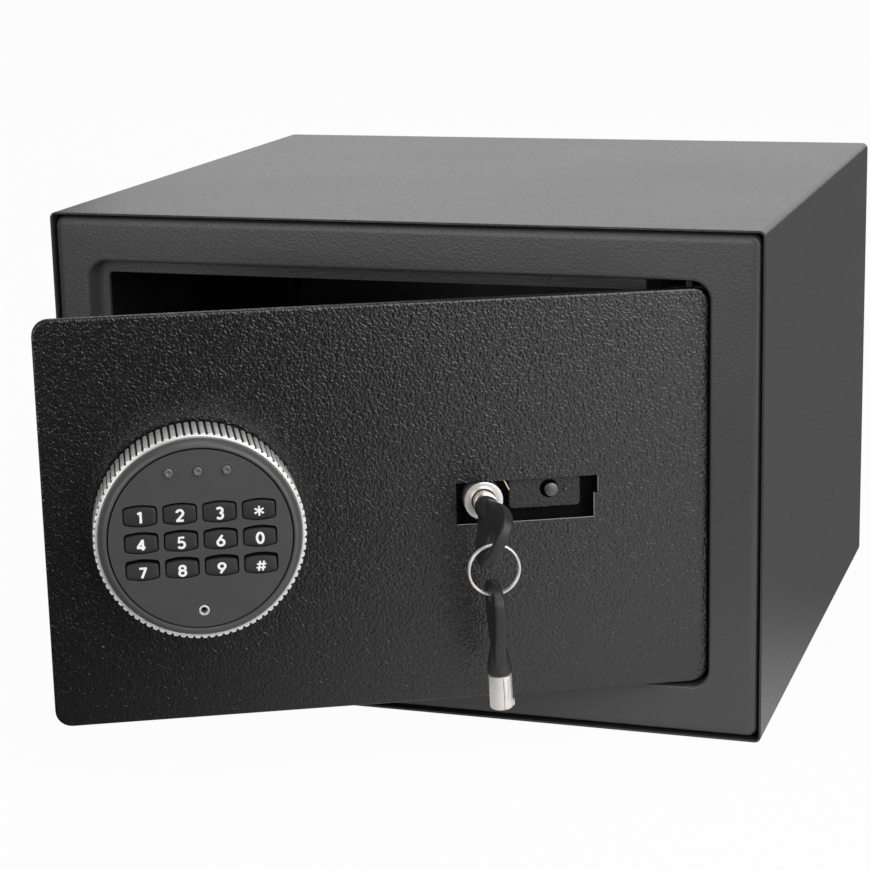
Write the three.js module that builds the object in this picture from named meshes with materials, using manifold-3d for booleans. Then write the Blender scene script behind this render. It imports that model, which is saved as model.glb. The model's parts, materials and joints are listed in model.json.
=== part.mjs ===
// Electronic home safe with a round keypad set in its turning knob, door ajar and a key in its override lock.
// Millimetres, +Z up. The origin is the middle of the cabinet's underside, and the door faces -Y.
// The door's own pieces are drawn in a group that turns about the hinge pins: x runs towards the hinge
// edge, y runs from the outer face into the cabinet, and z is the height above the ground.
import * as THREE from 'three';
import { mergeVertices } from 'three/addons/utils/BufferGeometryUtils.js';
import Module from 'manifold-3d';

const wasm = await Module();
wasm.setup();

// Cabinet
const cabinetWidth = 350;
const cabinetDepth = 320;
const cabinetHeight = 240;
const shellWall = 1;
const shellCorner = 3;
const panWall = 2.5;
const panEdgeRadius = 4.5;
const panCorner = 5.5;
const panGroove = 0.5;
const frameSkirt = 14;
const backSkirt = 13;
const anchorRadius = 5;
const anchorSpacing = 140;
const seat = 0.3;

// Door opening in the front frame
const marginLeft = 19;
const marginRight = 25;
const marginTop = 23.5;
const marginBottom = 24.9;
const openingCorner = 9;
const openingLip = 1.6;
const recessDepth = 9;
const stopWidth = 6.5;

// Door leaf and its hinge
const doorThickness = 4;
const doorCorner = 7.5;
const doorEdgeRadius = 1.4;
const doorSetback = 1;
const gapFree = 1.5;
const gapHinge = 3.1;
const gapTop = 3.4;
const gapBottom = 1.8;
const pinFromEdge = 8;
const pinBehindFace = 7;
const pinRadius = 2;
const pinClearance = 0.3;
const pinInBlock = 14;
const pinHeadRadius = 3.2;
const pinHeadHeight = 2;
const openAtRest = 26.4;
const lugThickness = 3;
const lugHalfWidth = 13;
const lugDepth = 17;
const lugRise = 14;
const lugUprightWall = 1.6;
const hingeBlockHeight = 24;
const hingeBlockInset = 10;
const hingeBlockDepth = 15;

// Box of folded sheet on the back of the door
const boxWall = 1.5;
const boxDepth = 30;
const boxSweepGap = 4.4;
const boxStopGap = 3;
const boxHingeGap = 14;
const boxCorner = 3;
const coverThickness = 1.5;

// Knob
const knobFromEdge = 67.7;
const knobBelowMiddle = 0.7;
const knurlRadius = 46.3;
const knurlTeeth = 90;
const knurlDepth = 1.1;
const knurlLength = 21.6;
const knobWall = 1.8;
const knobGap = 0.4;
const bezelRadius = 44.6;
const bezelHeight = 4.3;
const collarThickness = 3;
const spindleRadius = 9;
const knobDisc = 3;
const crankRadius = 14;
const crankThickness = 4;
const crankPinRadius = 2.5;

// Keypad in the middle of the knob, which stays upright
const keypadRadius = 40.1;
const keypadWall = 1.6;
const faceThickness = 2.8;
const faceBelowBezel = 0.5;
const stemRadius = 5;
const stemBore = 3;
const keyWidth = 15;
const keyHeight = 8.8;
const keyArch = 0.35;
const keyCorner = 1.6;
const keyPitchX = 17.1;
const keyPitchZ = 12.1;
const keyProud = 1.7;
const keyRounding = 1;
const keySlack = 0.35;
const keyFlange = 0.8;
const keyFlangeThickness = 1.2;
const padDrop = 0.3;
const ledSpacing = 12.5;
const ledRise = 30.3;
const ledRadius = 2.2;
const jackDrop = 32.4;
const jackRadius = 2.35;
const jackBore = 1.3;
const boardThickness = 1.6;
const boardBelowFace = 4.2;

// Bolts and the slide that carries them
const boltRadius = 8;
const boltInset = 14;
const boltPlay = 0.8;
const boltStroke = 14;
const boltLip = 1;
const slideThickness = 2;
const slideMargin = 32;
const slideReach = 76;
const slideFlangeInset = 21.5;
const studRadius = 2.5;
const studInset = 14;
const studFromKnob = 36;
const slotSlack = 0.35;
const blockerRadius = 2;
const blockerStroke = 4;
const blockerFromKnob = 55.7;
const blockerLength = 31;
const strapHalfHeight = 14;
const strapWall = 2;
const strapFoot = 13;
const strapBehindSlide = 5;
const strapPastSlide = 9;
const solenoidWidth = 26;
const solenoidHeight = 20;
const solenoidDepth = 13;

// Override lock, its window in the leaf and the bracket behind the window
const lockFromKnob = 129.2;
const lockAboveMiddle = 0.1;
const lockRadius = 8.9;
const lockThreadRadius = 8;
const lockLength = 24;
const lockBelowFace = 1;
const plugPostRadius = 3.7;
const keyTubeOuter = 5.25;
const keyTubeInner = 4.05;
const lockSlack = 0.35;
const camLength = 20;
const camWidth = 8;
const camThickness = 1.8;
const nutRadius = 12;
const stemNutRadius = 9;
const nutThickness = 4;
const windowLeft = 12.8;
const windowRight = 51;
const windowNotch = 1.9;
const windowNotchRise = 1.3;
const windowTop = 9.3;
const windowBottom = 10.4;
const bracketWall = 1.5;
const bracketBehindLeaf = 6;
const bracketWidth = 76;
const bracketLeft = 19.5;
const bracketDrop = 22;
const bracketRise = 24;
const padLeft = 12.1;
const padRight = 45.1;
const padBottom = 5.6;
const padTop = 16;
const padHoleRadius = 4.3;
const padHoleX = 30.6;
const padHoleRise = 3.2;
const clipStudRadius = 3;
const clipStudAside = 1;
const clipStudDrop = 0.5;

// Keys and their ring
const keyInserted = 12;
const keyTubeLength = 15.6;
const bowLength = 43;
const bowHalfWidth = 13.5;
const bowThickness = 5;
const bowEdge = 1.2;
const bossRadius = 5.9;
const bossEndRadius = 4.6;
const bossStraight = 2.6;
const bossLength = 10;
const bossRounding = 1;
const ringHoleLength = 8;
const ringHoleHalfWidth = 5;
const ringHoleRim = 4;
const keyTurned = 25;
const keySag = 13.3;
const keyLean = -2.3;
const spareLean = 2.6;
const ringRadius = 11.3;
const ringWire = 0.6;
const ringTurns = 2;
const ringPitch = 1.3;
const ringPlay = 1.3;
const ringRise = 2;
const ringAside = 1.5;

// Batteries and the electronics behind the cover
const batteryRadius = 7.2;
const batteryLength = 50;
const batteryPitch = 15;
const batteryCount = 4;
const trayWall = 1.5;
const trayRoom = 1;
const trayFromHingeSide = 6;
const trayFromBottom = 8;
const trayDepth = 18.6;
const lidThickness = 2;
const lidOverlap = 1.5;
const lidBarrelRadius = 1.8;
const lidPinRadius = 1;
const earThickness = 2.2;
const resetRadius = 3.5;
const resetFlange = 1.5;
const resetFromKnob = 98;
const resetBelowBoxTop = 34.3;
const resetProud = 1.6;
const controlWidth = 66;
const controlAboveBracket = 6.7;
const controlBelowBoxTop = 8.3;
const controlFromKnob = 88;
const chipSide = 16;
const chipFromSide = 26;
const chipHeight = 2;
const buzzerRadius = 6;
const buzzerFromSide = 54;
const buzzerHeight = 7;
const connectorLength = 12;
const connectorDepth = 8;
const connectorHeight = 6;
const connectorFromSide = 8;
const componentsRise = 14;
const standoffRadius = 3;
const standoffLength = 6;
const matThickness = 3;
const matMargin = 3;

// Places that follow from the sizes above
const frontY = -cabinetDepth / 2;
const backY = cabinetDepth / 2;
const openingLeft = -cabinetWidth / 2 + marginLeft;
const openingRight = cabinetWidth / 2 - marginRight;
const openingBottom = marginBottom;
const openingTop = cabinetHeight - marginTop;
const pinX = openingRight - gapHinge - pinFromEdge;
const pinY = frontY + doorSetback + pinBehindFace;
const leafRight = pinFromEdge;
const leafLeft = openingLeft + gapFree - pinX;
const leafBottom = openingBottom + gapBottom;
const leafTop = openingTop - gapTop;
const leafFront = -pinBehindFace;
const leafBack = leafFront + doorThickness;
const stopBack = frontY + recessDepth + panWall - pinY;
const knobX = leafLeft + knobFromEdge;
const leafMiddle = (leafBottom + leafTop) / 2;
const knobZ = leafMiddle - knobBelowMiddle;
const lockX = knobX + lockFromKnob;
const lockZ = leafMiddle + lockAboveMiddle;
const boxLeft = openingLeft + stopWidth + boxSweepGap - pinX;
const boxRight = -boxHingeGap;
const boxBottom = openingBottom + stopWidth + boxStopGap;
const boxTop = openingTop - stopWidth - boxStopGap;
const boxFront = leafBack + seat;
const boxBack = boxFront + boxDepth;
const coverFront = boxBack + seat;
const coverBack = coverFront + coverThickness;
const boltY = stopBack + boltPlay + boltRadius;
const slideHeight = boxTop - boxBottom - 2 * slideMargin;
const boltSpread = slideHeight - 2 * boltInset;
const studSpread = slideHeight - 2 * studInset;
const boltHeights = [knobZ - boltSpread / 2, knobZ + boltSpread / 2];
const crankFront = leafBack + 2 * seat;
const crankBack = crankFront + crankThickness;
const slideFront = crankBack + 2 * seat;
const slideBack = slideFront + slideThickness;
const crankThrow = boltStroke / Math.SQRT2;
const slideLeft = boxLeft + slideFlangeInset;
const slideRight = knobX + slideReach;

// Finishes, as colour, roughness and metalness
const finishes = {
  shellPaint: [0x55585c, 0.5, 0.25],
  leafPaint: [0x3c3d40, 0.45, 0.2],
  sheetPaint: [0x2c2d2f, 0.6, 0.3],
  zinc: [0xa9adb0, 0.35, 0.9],
  chrome: [0xd8dadc, 0.12, 1],
  nickel: [0xb3aca3, 0.25, 1],
  knobLacquer: [0x2b2c2e, 0.3, 0.2],
  keypadPlastic: [0x9a9da1, 0.42, 0.25],
  keyPlastic: [0x6e7175, 0.5, 0.1],
  blackPlastic: [0x161617, 0.55, 0],
  redPlastic: [0xa3201c, 0.4, 0],
  ledLens: [0x6a6d70, 0.15, 0],
  board: [0x1d5a36, 0.5, 0],
  cell: [0x3a3f45, 0.35, 0.4],
  felt: [0x17181a, 0.95, 0],
};

// Solids: a closed geometry becomes a solid, and solids join and cut one another
const weldDistance = 1e-4;

function signedVolume(points, triangles) {
  const [a, b, c] = [new THREE.Vector3(), new THREE.Vector3(), new THREE.Vector3()];
  let volume = 0;
  for (let i = 0; i < triangles.length; i += 3) {
    a.fromArray(points, triangles[i] * 3);
    b.fromArray(points, triangles[i + 1] * 3);
    c.fromArray(points, triangles[i + 2] * 3);
    volume += a.dot(b.cross(c)) / 6;
  }
  return volume;
}

function solid(geometry) {
  const bare = geometry.clone();
  bare.deleteAttribute('normal');
  bare.deleteAttribute('uv');
  const merged = mergeVertices(bare, weldDistance);
  const points = merged.getAttribute('position').array;
  const corners = merged.index.array;
  const triangles = [];
  for (let i = 0; i < corners.length; i += 3) {
    const [a, b, c] = [corners[i], corners[i + 1], corners[i + 2]];
    if (a !== b && b !== c && c !== a) triangles.push(a, b, c);
  }
  if (signedVolume(points, triangles) < 0) triangles.reverse();
  const triVerts = new Uint32Array(triangles);
  return new wasm.Manifold(new wasm.Mesh({ numProp: 3, vertProperties: points, triVerts }));
}

function join(...parts) {
  return parts.reduce((whole, part) => whole.add(part));
}

function cut(whole, ...tools) {
  return tools.reduce((left, tool) => left.subtract(tool), whole);
}

// Adds a solid to a group as a named mesh.
function piece(group, name, made, finish) {
  const { vertProperties, triVerts } = made.getMesh();
  const geometry = new THREE.BufferGeometry();
  geometry.setAttribute('position', new THREE.BufferAttribute(vertProperties, 3));
  geometry.setIndex(new THREE.BufferAttribute(triVerts, 1));
  const [color, roughness, metalness] = finishes[finish];
  const flatShading = true;
  const mesh = new THREE.Mesh(
    geometry,
    new THREE.MeshStandardMaterial({ color, roughness, metalness, flatShading }),
  );
  mesh.name = name;
  group.add(mesh);
  return mesh;
}

function box(x0, x1, y0, y1, z0, z1) {
  const geometry = new THREE.BoxGeometry(x1 - x0, y1 - y0, z1 - z0);
  return solid(geometry.translate((x0 + x1) / 2, (y0 + y1) / 2, (z0 + z1) / 2));
}

const roundSides = (radius) => (radius > 6 ? 24 : 16);

function rodY(radius, x, z, y0, y1, sides = roundSides(radius)) {
  const geometry = new THREE.CylinderGeometry(radius, radius, y1 - y0, sides);
  return solid(geometry.translate(x, (y0 + y1) / 2, z));
}

function rodZ(radius, x, y, z0, z1, sides = roundSides(radius)) {
  const geometry = new THREE.CylinderGeometry(radius, radius, z1 - z0, sides);
  return solid(geometry.rotateX(Math.PI / 2).translate(x, y, (z0 + z1) / 2));
}

function rodX(radius, y, z, x0, x1, sides = roundSides(radius)) {
  const geometry = new THREE.CylinderGeometry(radius, radius, x1 - x0, sides);
  return solid(geometry.rotateZ(Math.PI / 2).translate((x0 + x1) / 2, y, z));
}

// A closed profile of [radius, y] points turned about an axis along y.
function turned(profile, x, z, sides = 16) {
  const points = [...profile, profile[0]].map(([radius, y]) => new THREE.Vector2(radius, y));
  return solid(new THREE.LatheGeometry(points, sides).translate(x, 0, z));
}

// An outline in x and z, as seen from the front, given the depth from y0 to y1.
function slab(shape, y0, y1, curveSegments = 3) {
  const settings = { depth: y1 - y0, bevelEnabled: false, curveSegments };
  const geometry = new THREE.ExtrudeGeometry(shape, settings);
  return solid(geometry.rotateX(Math.PI / 2).translate(0, y1, 0));
}

// The same with its front edge rounded: it is made too deep, rounded all round and cut off behind.
function roundedSlab(shape, y0, y1, radius, curveSegments = 3, bevelSegments = 2) {
  const settings = {
    depth: y1 - y0,
    bevelThickness: radius,
    bevelSize: radius,
    bevelOffset: -radius,
    bevelSegments,
    curveSegments,
  };
  const geometry = new THREE.ExtrudeGeometry(shape, settings);
  geometry.rotateX(Math.PI / 2).translate(0, y1 + radius, 0);
  geometry.computeBoundingBox();
  const { min, max } = geometry.boundingBox;
  const rest = box(min.x - 1, max.x + 1, y1, max.y + 1, min.z - 1, max.z + 1);
  return cut(solid(geometry), rest);
}

function roundedRectangle(x0, x1, z0, z1, radius, Outline = THREE.Shape) {
  const outline = new Outline();
  outline.moveTo(x0 + radius, z0);
  outline.absarc(x1 - radius, z0 + radius, radius, -Math.PI / 2, 0);
  outline.absarc(x1 - radius, z1 - radius, radius, 0, Math.PI / 2);
  outline.absarc(x0 + radius, z1 - radius, radius, Math.PI / 2, Math.PI);
  outline.absarc(x0 + radius, z0 + radius, radius, Math.PI, Math.PI * 1.5);
  outline.closePath();
  return outline;
}

function polygon(points) {
  return new THREE.Shape(points.map(([x, z]) => new THREE.Vector2(x, z)));
}

const cornerSteps = 6;
const lipSteps = 2;

// Cabinet: a wrap of folded sheet, closed by a front frame and a back panel that sit inside it
const cabinet = new THREE.Group();

function bodyShell() {
  const half = cabinetWidth / 2;
  const outline = roundedRectangle(-half, half, 0, cabinetHeight, shellCorner);
  const innerRadius = shellCorner - shellWall;
  outline.holes.push(roundedRectangle(
    -half + shellWall, half - shellWall, shellWall, cabinetHeight - shellWall, innerRadius, THREE.Path,
  ));
  const wrap = slab(outline, frontY, backY, 2);
  const holes = [-1, 1].map((side) => (
    rodZ(anchorRadius, side * anchorSpacing / 2, 0, -1, shellWall + 1)
  ));
  return cut(wrap, ...holes);
}

// A shallow pan, open behind, whose outer edges are rounded towards the front.
function pan(skirt) {
  const inset = shellWall + panGroove;
  const half = cabinetWidth / 2 - inset;
  const [low, high] = [inset, cabinetHeight - inset];
  const outer = roundedRectangle(-half, half, low, high, panCorner);
  const inner = roundedRectangle(
    -half + panWall, half - panWall, low + panWall, high - panWall, panCorner - panWall,
  );
  return cut(roundedSlab(outer, 0, skirt, panEdgeRadius), slab(inner, panWall, skirt + 1));
}

// A cutter that narrows as a quarter round, from the outline grown by the radius to the bare outline.
function funnel(outlineGrownBy, y0, radius) {
  const sections = [{ y: y0 - 1, grow: radius }];
  for (let i = 0; i <= lipSteps; i += 1) {
    const angle = (i / lipSteps) * Math.PI / 2;
    sections.push({ y: y0 + radius * (1 - Math.cos(angle)), grow: radius * (1 - Math.sin(angle)) });
  }
  const rings = sections.map(({ y, grow }) => {
    const points = outlineGrownBy(grow).extractPoints(cornerSteps).shape;
    return { y, points };
  });
  const count = rings[0].points.length;
  const positions = rings.flatMap(({ y, points }) => points.flatMap((point) => [point.x, y, point.y]));
  const index = [];
  for (let k = 0; k + 1 < rings.length; k += 1) {
    for (let i = 0; i < count; i += 1) {
      const [a, b] = [k * count + i, k * count + (i + 1) % count];
      index.push(a, a + count, b, b, a + count, b + count);
    }
  }
  const last = (rings.length - 1) * count;
  for (const [a, b, c] of THREE.ShapeUtils.triangulateShape(rings[0].points, [])) {
    index.push(a, b, c, last + a, last + c, last + b);
  }
  const geometry = new THREE.BufferGeometry();
  geometry.setAttribute('position', new THREE.Float32BufferAttribute(positions, 3));
  geometry.setIndex(index);
  return solid(geometry);
}

// The frame is pressed in round the opening, and a flange inside it stops the door on three sides.
function frontFrame() {
  const opening = (grow) => roundedRectangle(
    openingLeft - grow, openingRight + grow, openingBottom - grow, openingTop + grow, openingCorner + grow,
  );
  const back = frontY + recessDepth + panWall;
  const plug = slab(opening(panWall), frontY, back, cornerSteps);
  const skirted = cut(
    pan(frameSkirt).translate([0, frontY, 0]), slab(opening(1), frontY - 1, back, cornerSteps),
  );
  const recess = slab(opening(0), frontY - 1, frontY + recessDepth, cornerSteps);
  const lip = funnel(opening, frontY, openingLip);
  const insideStop = slab(roundedRectangle(
    openingLeft + stopWidth, openingRight - stopWidth, openingBottom + stopWidth,
    openingTop - stopWidth, openingCorner - stopWidth,
  ), frontY, back + 1);
  const hingeSide = slab(opening(0), frontY, back + 1, cornerSteps).intersect(
    box(pinX - 2 * hingeBlockInset, openingRight + 1, frontY - 1, back + 2, 0, cabinetHeight),
  );
  return cut(join(skirted, plug), recess, lip, insideStop, hingeSide, ...pinNotches());
}

// The return walls are notched open where the hinge pins cross them.
function pinNotches() {
  const radius = pinRadius + pinClearance;
  const walls = [[openingBottom - panWall, openingBottom], [openingTop, openingTop + panWall]];
  return walls.map(([z0, z1]) => join(
    rodZ(radius, pinX, pinY, z0 - 1, z1 + 1),
    box(pinX - radius, pinX + radius, pinY, frontY + recessDepth + panWall + 1, z0 - 1, z1 + 1),
  ));
}

function backPanel() {
  const plate = pan(backSkirt).rotate([0, 0, 180]).translate([0, backY, 0]);
  const holes = [-1, 1].map((side) => (
    rodY(anchorRadius, side * anchorSpacing / 2, cabinetHeight / 2, backY - panWall - 1, backY + 1)
  ));
  return cut(plate, ...holes);
}

// An angle welded behind the frame, whose level leg takes the hinge pin. up is 1 above the door, -1 below.
function hingeBracket(up) {
  const front = frontY + panWall + seat;
  const start = (up > 0 ? openingTop : openingBottom) + up * (panWall + seat);
  const leg = (from, to) => [Math.min(from, to), Math.max(from, to)];
  const [x0, x1] = [pinX - lugHalfWidth, pinX + lugHalfWidth];
  const level = box(x0, x1, front, front + lugDepth, ...leg(start, start + up * lugThickness));
  const upright = box(x0, x1, front, front + lugUprightWall, ...leg(start, start + up * lugRise));
  return cut(join(level, upright), rodZ(
    pinRadius + pinClearance, pinX, pinY, ...leg(start - up, start + up * (lugThickness + 1)),
  ));
}

function hingePin(up) {
  const blockFace = up > 0 ? leafTop : leafBottom;
  const start = blockFace - up * (pinInBlock - seat);
  const bracketFace = (up > 0 ? openingTop : openingBottom) + up * (panWall + seat + lugThickness + seat);
  const end = bracketFace + up * pinHeadHeight;
  const span = (from, to) => [Math.min(from, to), Math.max(from, to)];
  return join(
    rodZ(pinRadius, pinX, pinY, ...span(start, end)),
    rodZ(pinHeadRadius, pinX, pinY, ...span(bracketFace, end)),
  );
}

function floorMat() {
  const half = cabinetWidth / 2 - shellWall - matMargin;
  const [y0, y1] = [frontY + frameSkirt + matMargin, backY - backSkirt - matMargin];
  const low = shellWall + seat;
  const sheet = box(-half, half, y0, y1, low, low + matThickness);
  const holes = [-1, 1].map((side) => (
    rodZ(anchorRadius + matMargin, side * anchorSpacing / 2, 0, low - 1, low + matThickness + 1)
  ));
  return cut(sheet, ...holes);
}

piece(cabinet, 'body_shell', bodyShell(), 'shellPaint');
piece(cabinet, 'front_frame', frontFrame(), 'shellPaint');
piece(cabinet, 'back_panel', backPanel(), 'shellPaint');
piece(cabinet, 'hinge_bracket_top', hingeBracket(1), 'sheetPaint');
piece(cabinet, 'hinge_bracket_bottom', hingeBracket(-1), 'sheetPaint');
piece(cabinet, 'hinge_pin_top', hingePin(1), 'sheetPaint');
piece(cabinet, 'hinge_pin_bottom', hingePin(-1), 'sheetPaint');
piece(cabinet, 'floor_mat', floorMat(), 'felt');

// Door
const door = new THREE.Group();
door.position.set(pinX, pinY, 0);
door.rotation.z = THREE.MathUtils.degToRad(openAtRest);

// The window that bares the override lock is wider in its upper half.
function lockWindow() {
  const [left, right] = [lockX - windowLeft, lockX + windowRight];
  const [low, high] = [lockZ - windowBottom, lockZ + windowTop];
  const step = lockZ + windowNotchRise;
  return polygon([
    [left, low], [right, low], [right, step], [right + windowNotch, step],
    [right + windowNotch, high], [left, high],
  ]);
}

// The leaf, with the two studs that guide the slide welded to its back.
function doorLeaf() {
  const outline = roundedRectangle(leafLeft, leafRight, leafBottom, leafTop, doorCorner);
  const leaf = roundedSlab(outline, leafFront, leafBack, doorEdgeRadius, 3);
  const window = slab(lockWindow(), leafFront - 1, leafBack + 1);
  const spindleHole = rodY(spindleRadius + pinClearance, knobX, knobZ, leafFront - 1, leafBack + 1);
  const studs = studPlaces().map(([x, z]) => rodY(studRadius, x, z, leafBack - 1, slideBack + studRadius));
  return join(cut(leaf, window, spindleHole), ...studs);
}

function doorBox() {
  const outline = roundedRectangle(boxLeft, boxRight, boxBottom, boxTop, boxCorner);
  outline.holes.push(roundedRectangle(
    boxLeft + boxWall, boxRight - boxWall, boxBottom + boxWall, boxTop - boxWall,
    boxCorner - boxWall, THREE.Path,
  ));
  const holes = boltHeights.map((z) => (
    rodX(boltRadius + pinClearance, boltY, z, boxLeft - 1, boxLeft + boxWall + 1)
  ));
  return cut(slab(outline, boxFront, boxBack, 2), ...holes);
}

// Battery tray, let into the cover
const trayInnerLength = batteryLength + 2 * trayRoom;
const trayInnerHeight = batteryCount * batteryPitch + 2 * trayRoom;
const trayRight = boxRight - trayFromHingeSide;
const trayLeft = trayRight - trayInnerLength - 2 * trayWall;
const trayBottom = boxBottom + trayFromBottom;
const trayTop = trayBottom + trayInnerHeight + 2 * trayWall;
const trayFront = coverBack - trayDepth;
const lidFront = coverBack + seat;
const lidHingeZ = trayBottom - lidOverlap;
const lidHingeY = lidFront + lidBarrelRadius;
const lidLeft = trayLeft - lidOverlap;
const lidRight = trayRight + lidOverlap;
const lidTop = trayTop + lidOverlap;
const resetX = knobX + resetFromKnob;
const resetZ = boxTop - resetBelowBoxTop;

function backCover() {
  const outline = roundedRectangle(boxLeft, boxRight, boxBottom, boxTop, boxCorner);
  const plate = slab(outline, coverFront, coverBack, 2);
  const trayHole = box(
    trayLeft - seat, trayRight + seat, coverFront - 1, coverBack + 1, trayBottom - seat, trayTop + seat,
  );
  const resetHole = rodY(resetRadius + slotSlack, resetX, resetZ, coverFront - 1, coverBack + 1);
  const ears = [lidLeft - seat - earThickness, lidRight + seat].map((x) => box(
    x, x + earThickness, coverFront, lidHingeY + lidBarrelRadius,
    lidHingeZ - lidBarrelRadius, lidHingeZ + lidBarrelRadius,
  ));
  const pins = [
    rodX(lidPinRadius, lidHingeY, lidHingeZ, lidLeft - seat - 1, lidLeft + earThickness, 12),
    rodX(lidPinRadius, lidHingeY, lidHingeZ, lidRight - earThickness, lidRight + seat + 1, 12),
  ];
  return join(cut(plate, trayHole, resetHole), ...ears, ...pins);
}

function batteryTray() {
  const shell = box(trayLeft, trayRight, trayFront, coverBack, trayBottom, trayTop);
  const room = box(
    trayLeft + trayWall, trayRight - trayWall, trayFront + trayWall, coverBack + 1,
    trayBottom + trayWall, trayTop - trayWall,
  );
  const ribs = [];
  for (let i = 1; i < batteryCount; i += 1) {
    const z = trayBottom + trayWall + trayRoom + i * batteryPitch;
    ribs.push(box(trayLeft + 1, trayRight - 1, trayFront + 1, trayFront + trayWall + 1.6, z - 0.5, z + 0.5));
  }
  return join(cut(shell, room), ...ribs);
}

const cellCapRadius = 2.7;
const cellCapHeight = 1;

function battery(index) {
  const way = index % 2 ? -1 : 1;
  const x = (trayLeft + trayRight) / 2;
  const y = trayFront + trayWall + seat + batteryRadius;
  const z = trayBottom + trayWall + trayRoom + (index + 0.5) * batteryPitch;
  const half = batteryLength / 2;
  const profile = [
    [0, -half], [batteryRadius, -half], [batteryRadius, half - cellCapHeight],
    [cellCapRadius, half - cellCapHeight], [cellCapRadius, half], [0, half],
  ];
  return turned(profile, 0, 0, 14).rotate([0, 0, -90 * way]).translate([x, y, z]);
}

function batteryLid() {
  const plate = box(lidLeft, lidRight, lidFront, lidFront + lidThickness, lidHingeZ, lidTop);
  const barrel = rodX(lidBarrelRadius, lidHingeY, lidHingeZ, lidLeft, lidRight);
  const grip = box(
    (lidLeft + lidRight) / 2 - camWidth, (lidLeft + lidRight) / 2 + camWidth,
    lidFront, lidFront + 2 * lidThickness, lidTop - lidThickness, lidTop,
  );
  const pinHole = lidPinRadius + pinClearance;
  return cut(
    join(plate, barrel, grip),
    rodX(pinHole, lidHingeY, lidHingeZ, lidLeft - 1, lidLeft + earThickness + seat, 12),
    rodX(pinHole, lidHingeY, lidHingeZ, lidRight - earThickness - seat, lidRight + 1, 12),
  );
}

function resetButton() {
  const base = coverFront - seat;
  const profile = [
    [0, base - resetFlange], [resetRadius + resetFlange, base - resetFlange],
    [resetRadius + resetFlange, base], [resetRadius, base], [resetRadius, coverBack + resetProud - 0.5],
    [resetRadius - 0.5, coverBack + resetProud], [0, coverBack + resetProud],
  ];
  return turned(profile, resetX, resetZ);
}

// A block on each hinge corner of the leaf takes the end of a hinge pin.
function hingeBlock(up) {
  const face = up > 0 ? leafTop : leafBottom;
  const span = (from, to) => [Math.min(from, to), Math.max(from, to)];
  const outline = roundedRectangle(
    -hingeBlockInset, leafRight - 1, ...span(face, face - up * hingeBlockHeight), 2,
  );
  const block = slab(outline, leafBack + seat, leafBack + seat + hingeBlockDepth, 2);
  return cut(block, rodZ(pinRadius + pinClearance, 0, 0, ...span(face + up, face - up * pinInBlock)));
}

piece(door, 'door_leaf', doorLeaf(), 'leafPaint');
piece(door, 'door_box', doorBox(), 'sheetPaint');
piece(door, 'door_back_cover', backCover(), 'sheetPaint');
piece(door, 'hinge_block_top', hingeBlock(1), 'sheetPaint');
piece(door, 'hinge_block_bottom', hingeBlock(-1), 'sheetPaint');
piece(door, 'battery_tray', batteryTray(), 'blackPlastic');
for (let i = 0; i < batteryCount; i += 1) piece(door, `battery_${i + 1}`, battery(i), 'cell');
piece(door, 'battery_lid', batteryLid(), 'blackPlastic');
piece(door, 'reset_button', resetButton(), 'redPlastic');

// Bolt work: a crank pin on the knob's spindle drives a slide that carries two bolts

function studPlaces() {
  return [-1, 1].map((side) => [knobX + studFromKnob, knobZ + side * studSpread / 2]);
}

function slidePlate() {
  const [low, high] = [knobZ - slideHeight / 2, knobZ + slideHeight / 2];
  const plate = slab(roundedRectangle(slideLeft, slideRight, low, high, 4), slideFront, slideBack, 2);
  const flange = box(
    slideLeft, slideLeft + slideThickness, slideFront, boltY + boltRadius + 1, low + 4, high - 4,
  );
  const stemSlot = roundedRectangle(
    knobX - stemRadius - 1, knobX + stemRadius + 1 + boltStroke,
    knobZ - stemRadius - 1, knobZ + stemRadius + 1, stemRadius,
  );
  const start = crankThrow * Math.SQRT1_2;
  const crankSlot = roundedRectangle(
    knobX + start - crankPinRadius - 2 * slotSlack, knobX + start + crankPinRadius + 2 * slotSlack,
    knobZ, knobZ + crankThrow + crankPinRadius + 1, 2,
  );
  const guides = studPlaces().map(([x, z]) => slab(roundedRectangle(
    x - studRadius - slotSlack, x + studRadius + slotSlack + boltStroke,
    z - studRadius - slotSlack, z + studRadius + slotSlack, studRadius,
  ), slideFront - 1, slideBack + 1, 3));
  const spigots = boltHeights.map((z) => (
    rodX(boltRadius / 2 + seat, boltY, z, slideLeft - 1, slideLeft + slideThickness + 1)
  ));
  const notchHalf = blockerRadius + seat;
  const notches = [0, boltStroke].map((shift) => knobX + blockerFromKnob + shift).map((x) => box(
    x - notchHalf, x + notchHalf, slideFront - 1, slideBack + 1, high - blockerStroke - 1, high + 1,
  ));
  return cut(
    join(plate, flange),
    slab(stemSlot, slideFront - 1, slideBack + 1),
    slab(crankSlot, slideFront - 1, slideBack + 1),
    ...guides, ...spigots, ...notches,
  );
}

function bolt(z) {
  const tip = boxLeft - boltLip;
  const shoulder = slideLeft - seat;
  const end = slideLeft + slideThickness + seat;
  const profile = [
    [0, tip], [boltRadius - 1, tip], [boltRadius, tip + 1], [boltRadius, shoulder],
    [boltRadius / 2, shoulder], [boltRadius / 2, end], [0, end],
  ];
  return turned(profile, 0, 0).rotate([0, 0, -90]).translate([0, boltY, z]);
}

// A strap that holds the end of the keypad's stem clear of the slide.
const strapFront = slideBack + strapBehindSlide;
const strapStart = slideRight + strapPastSlide;
const strapReach = stemNutRadius + strapHalfHeight;

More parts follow.
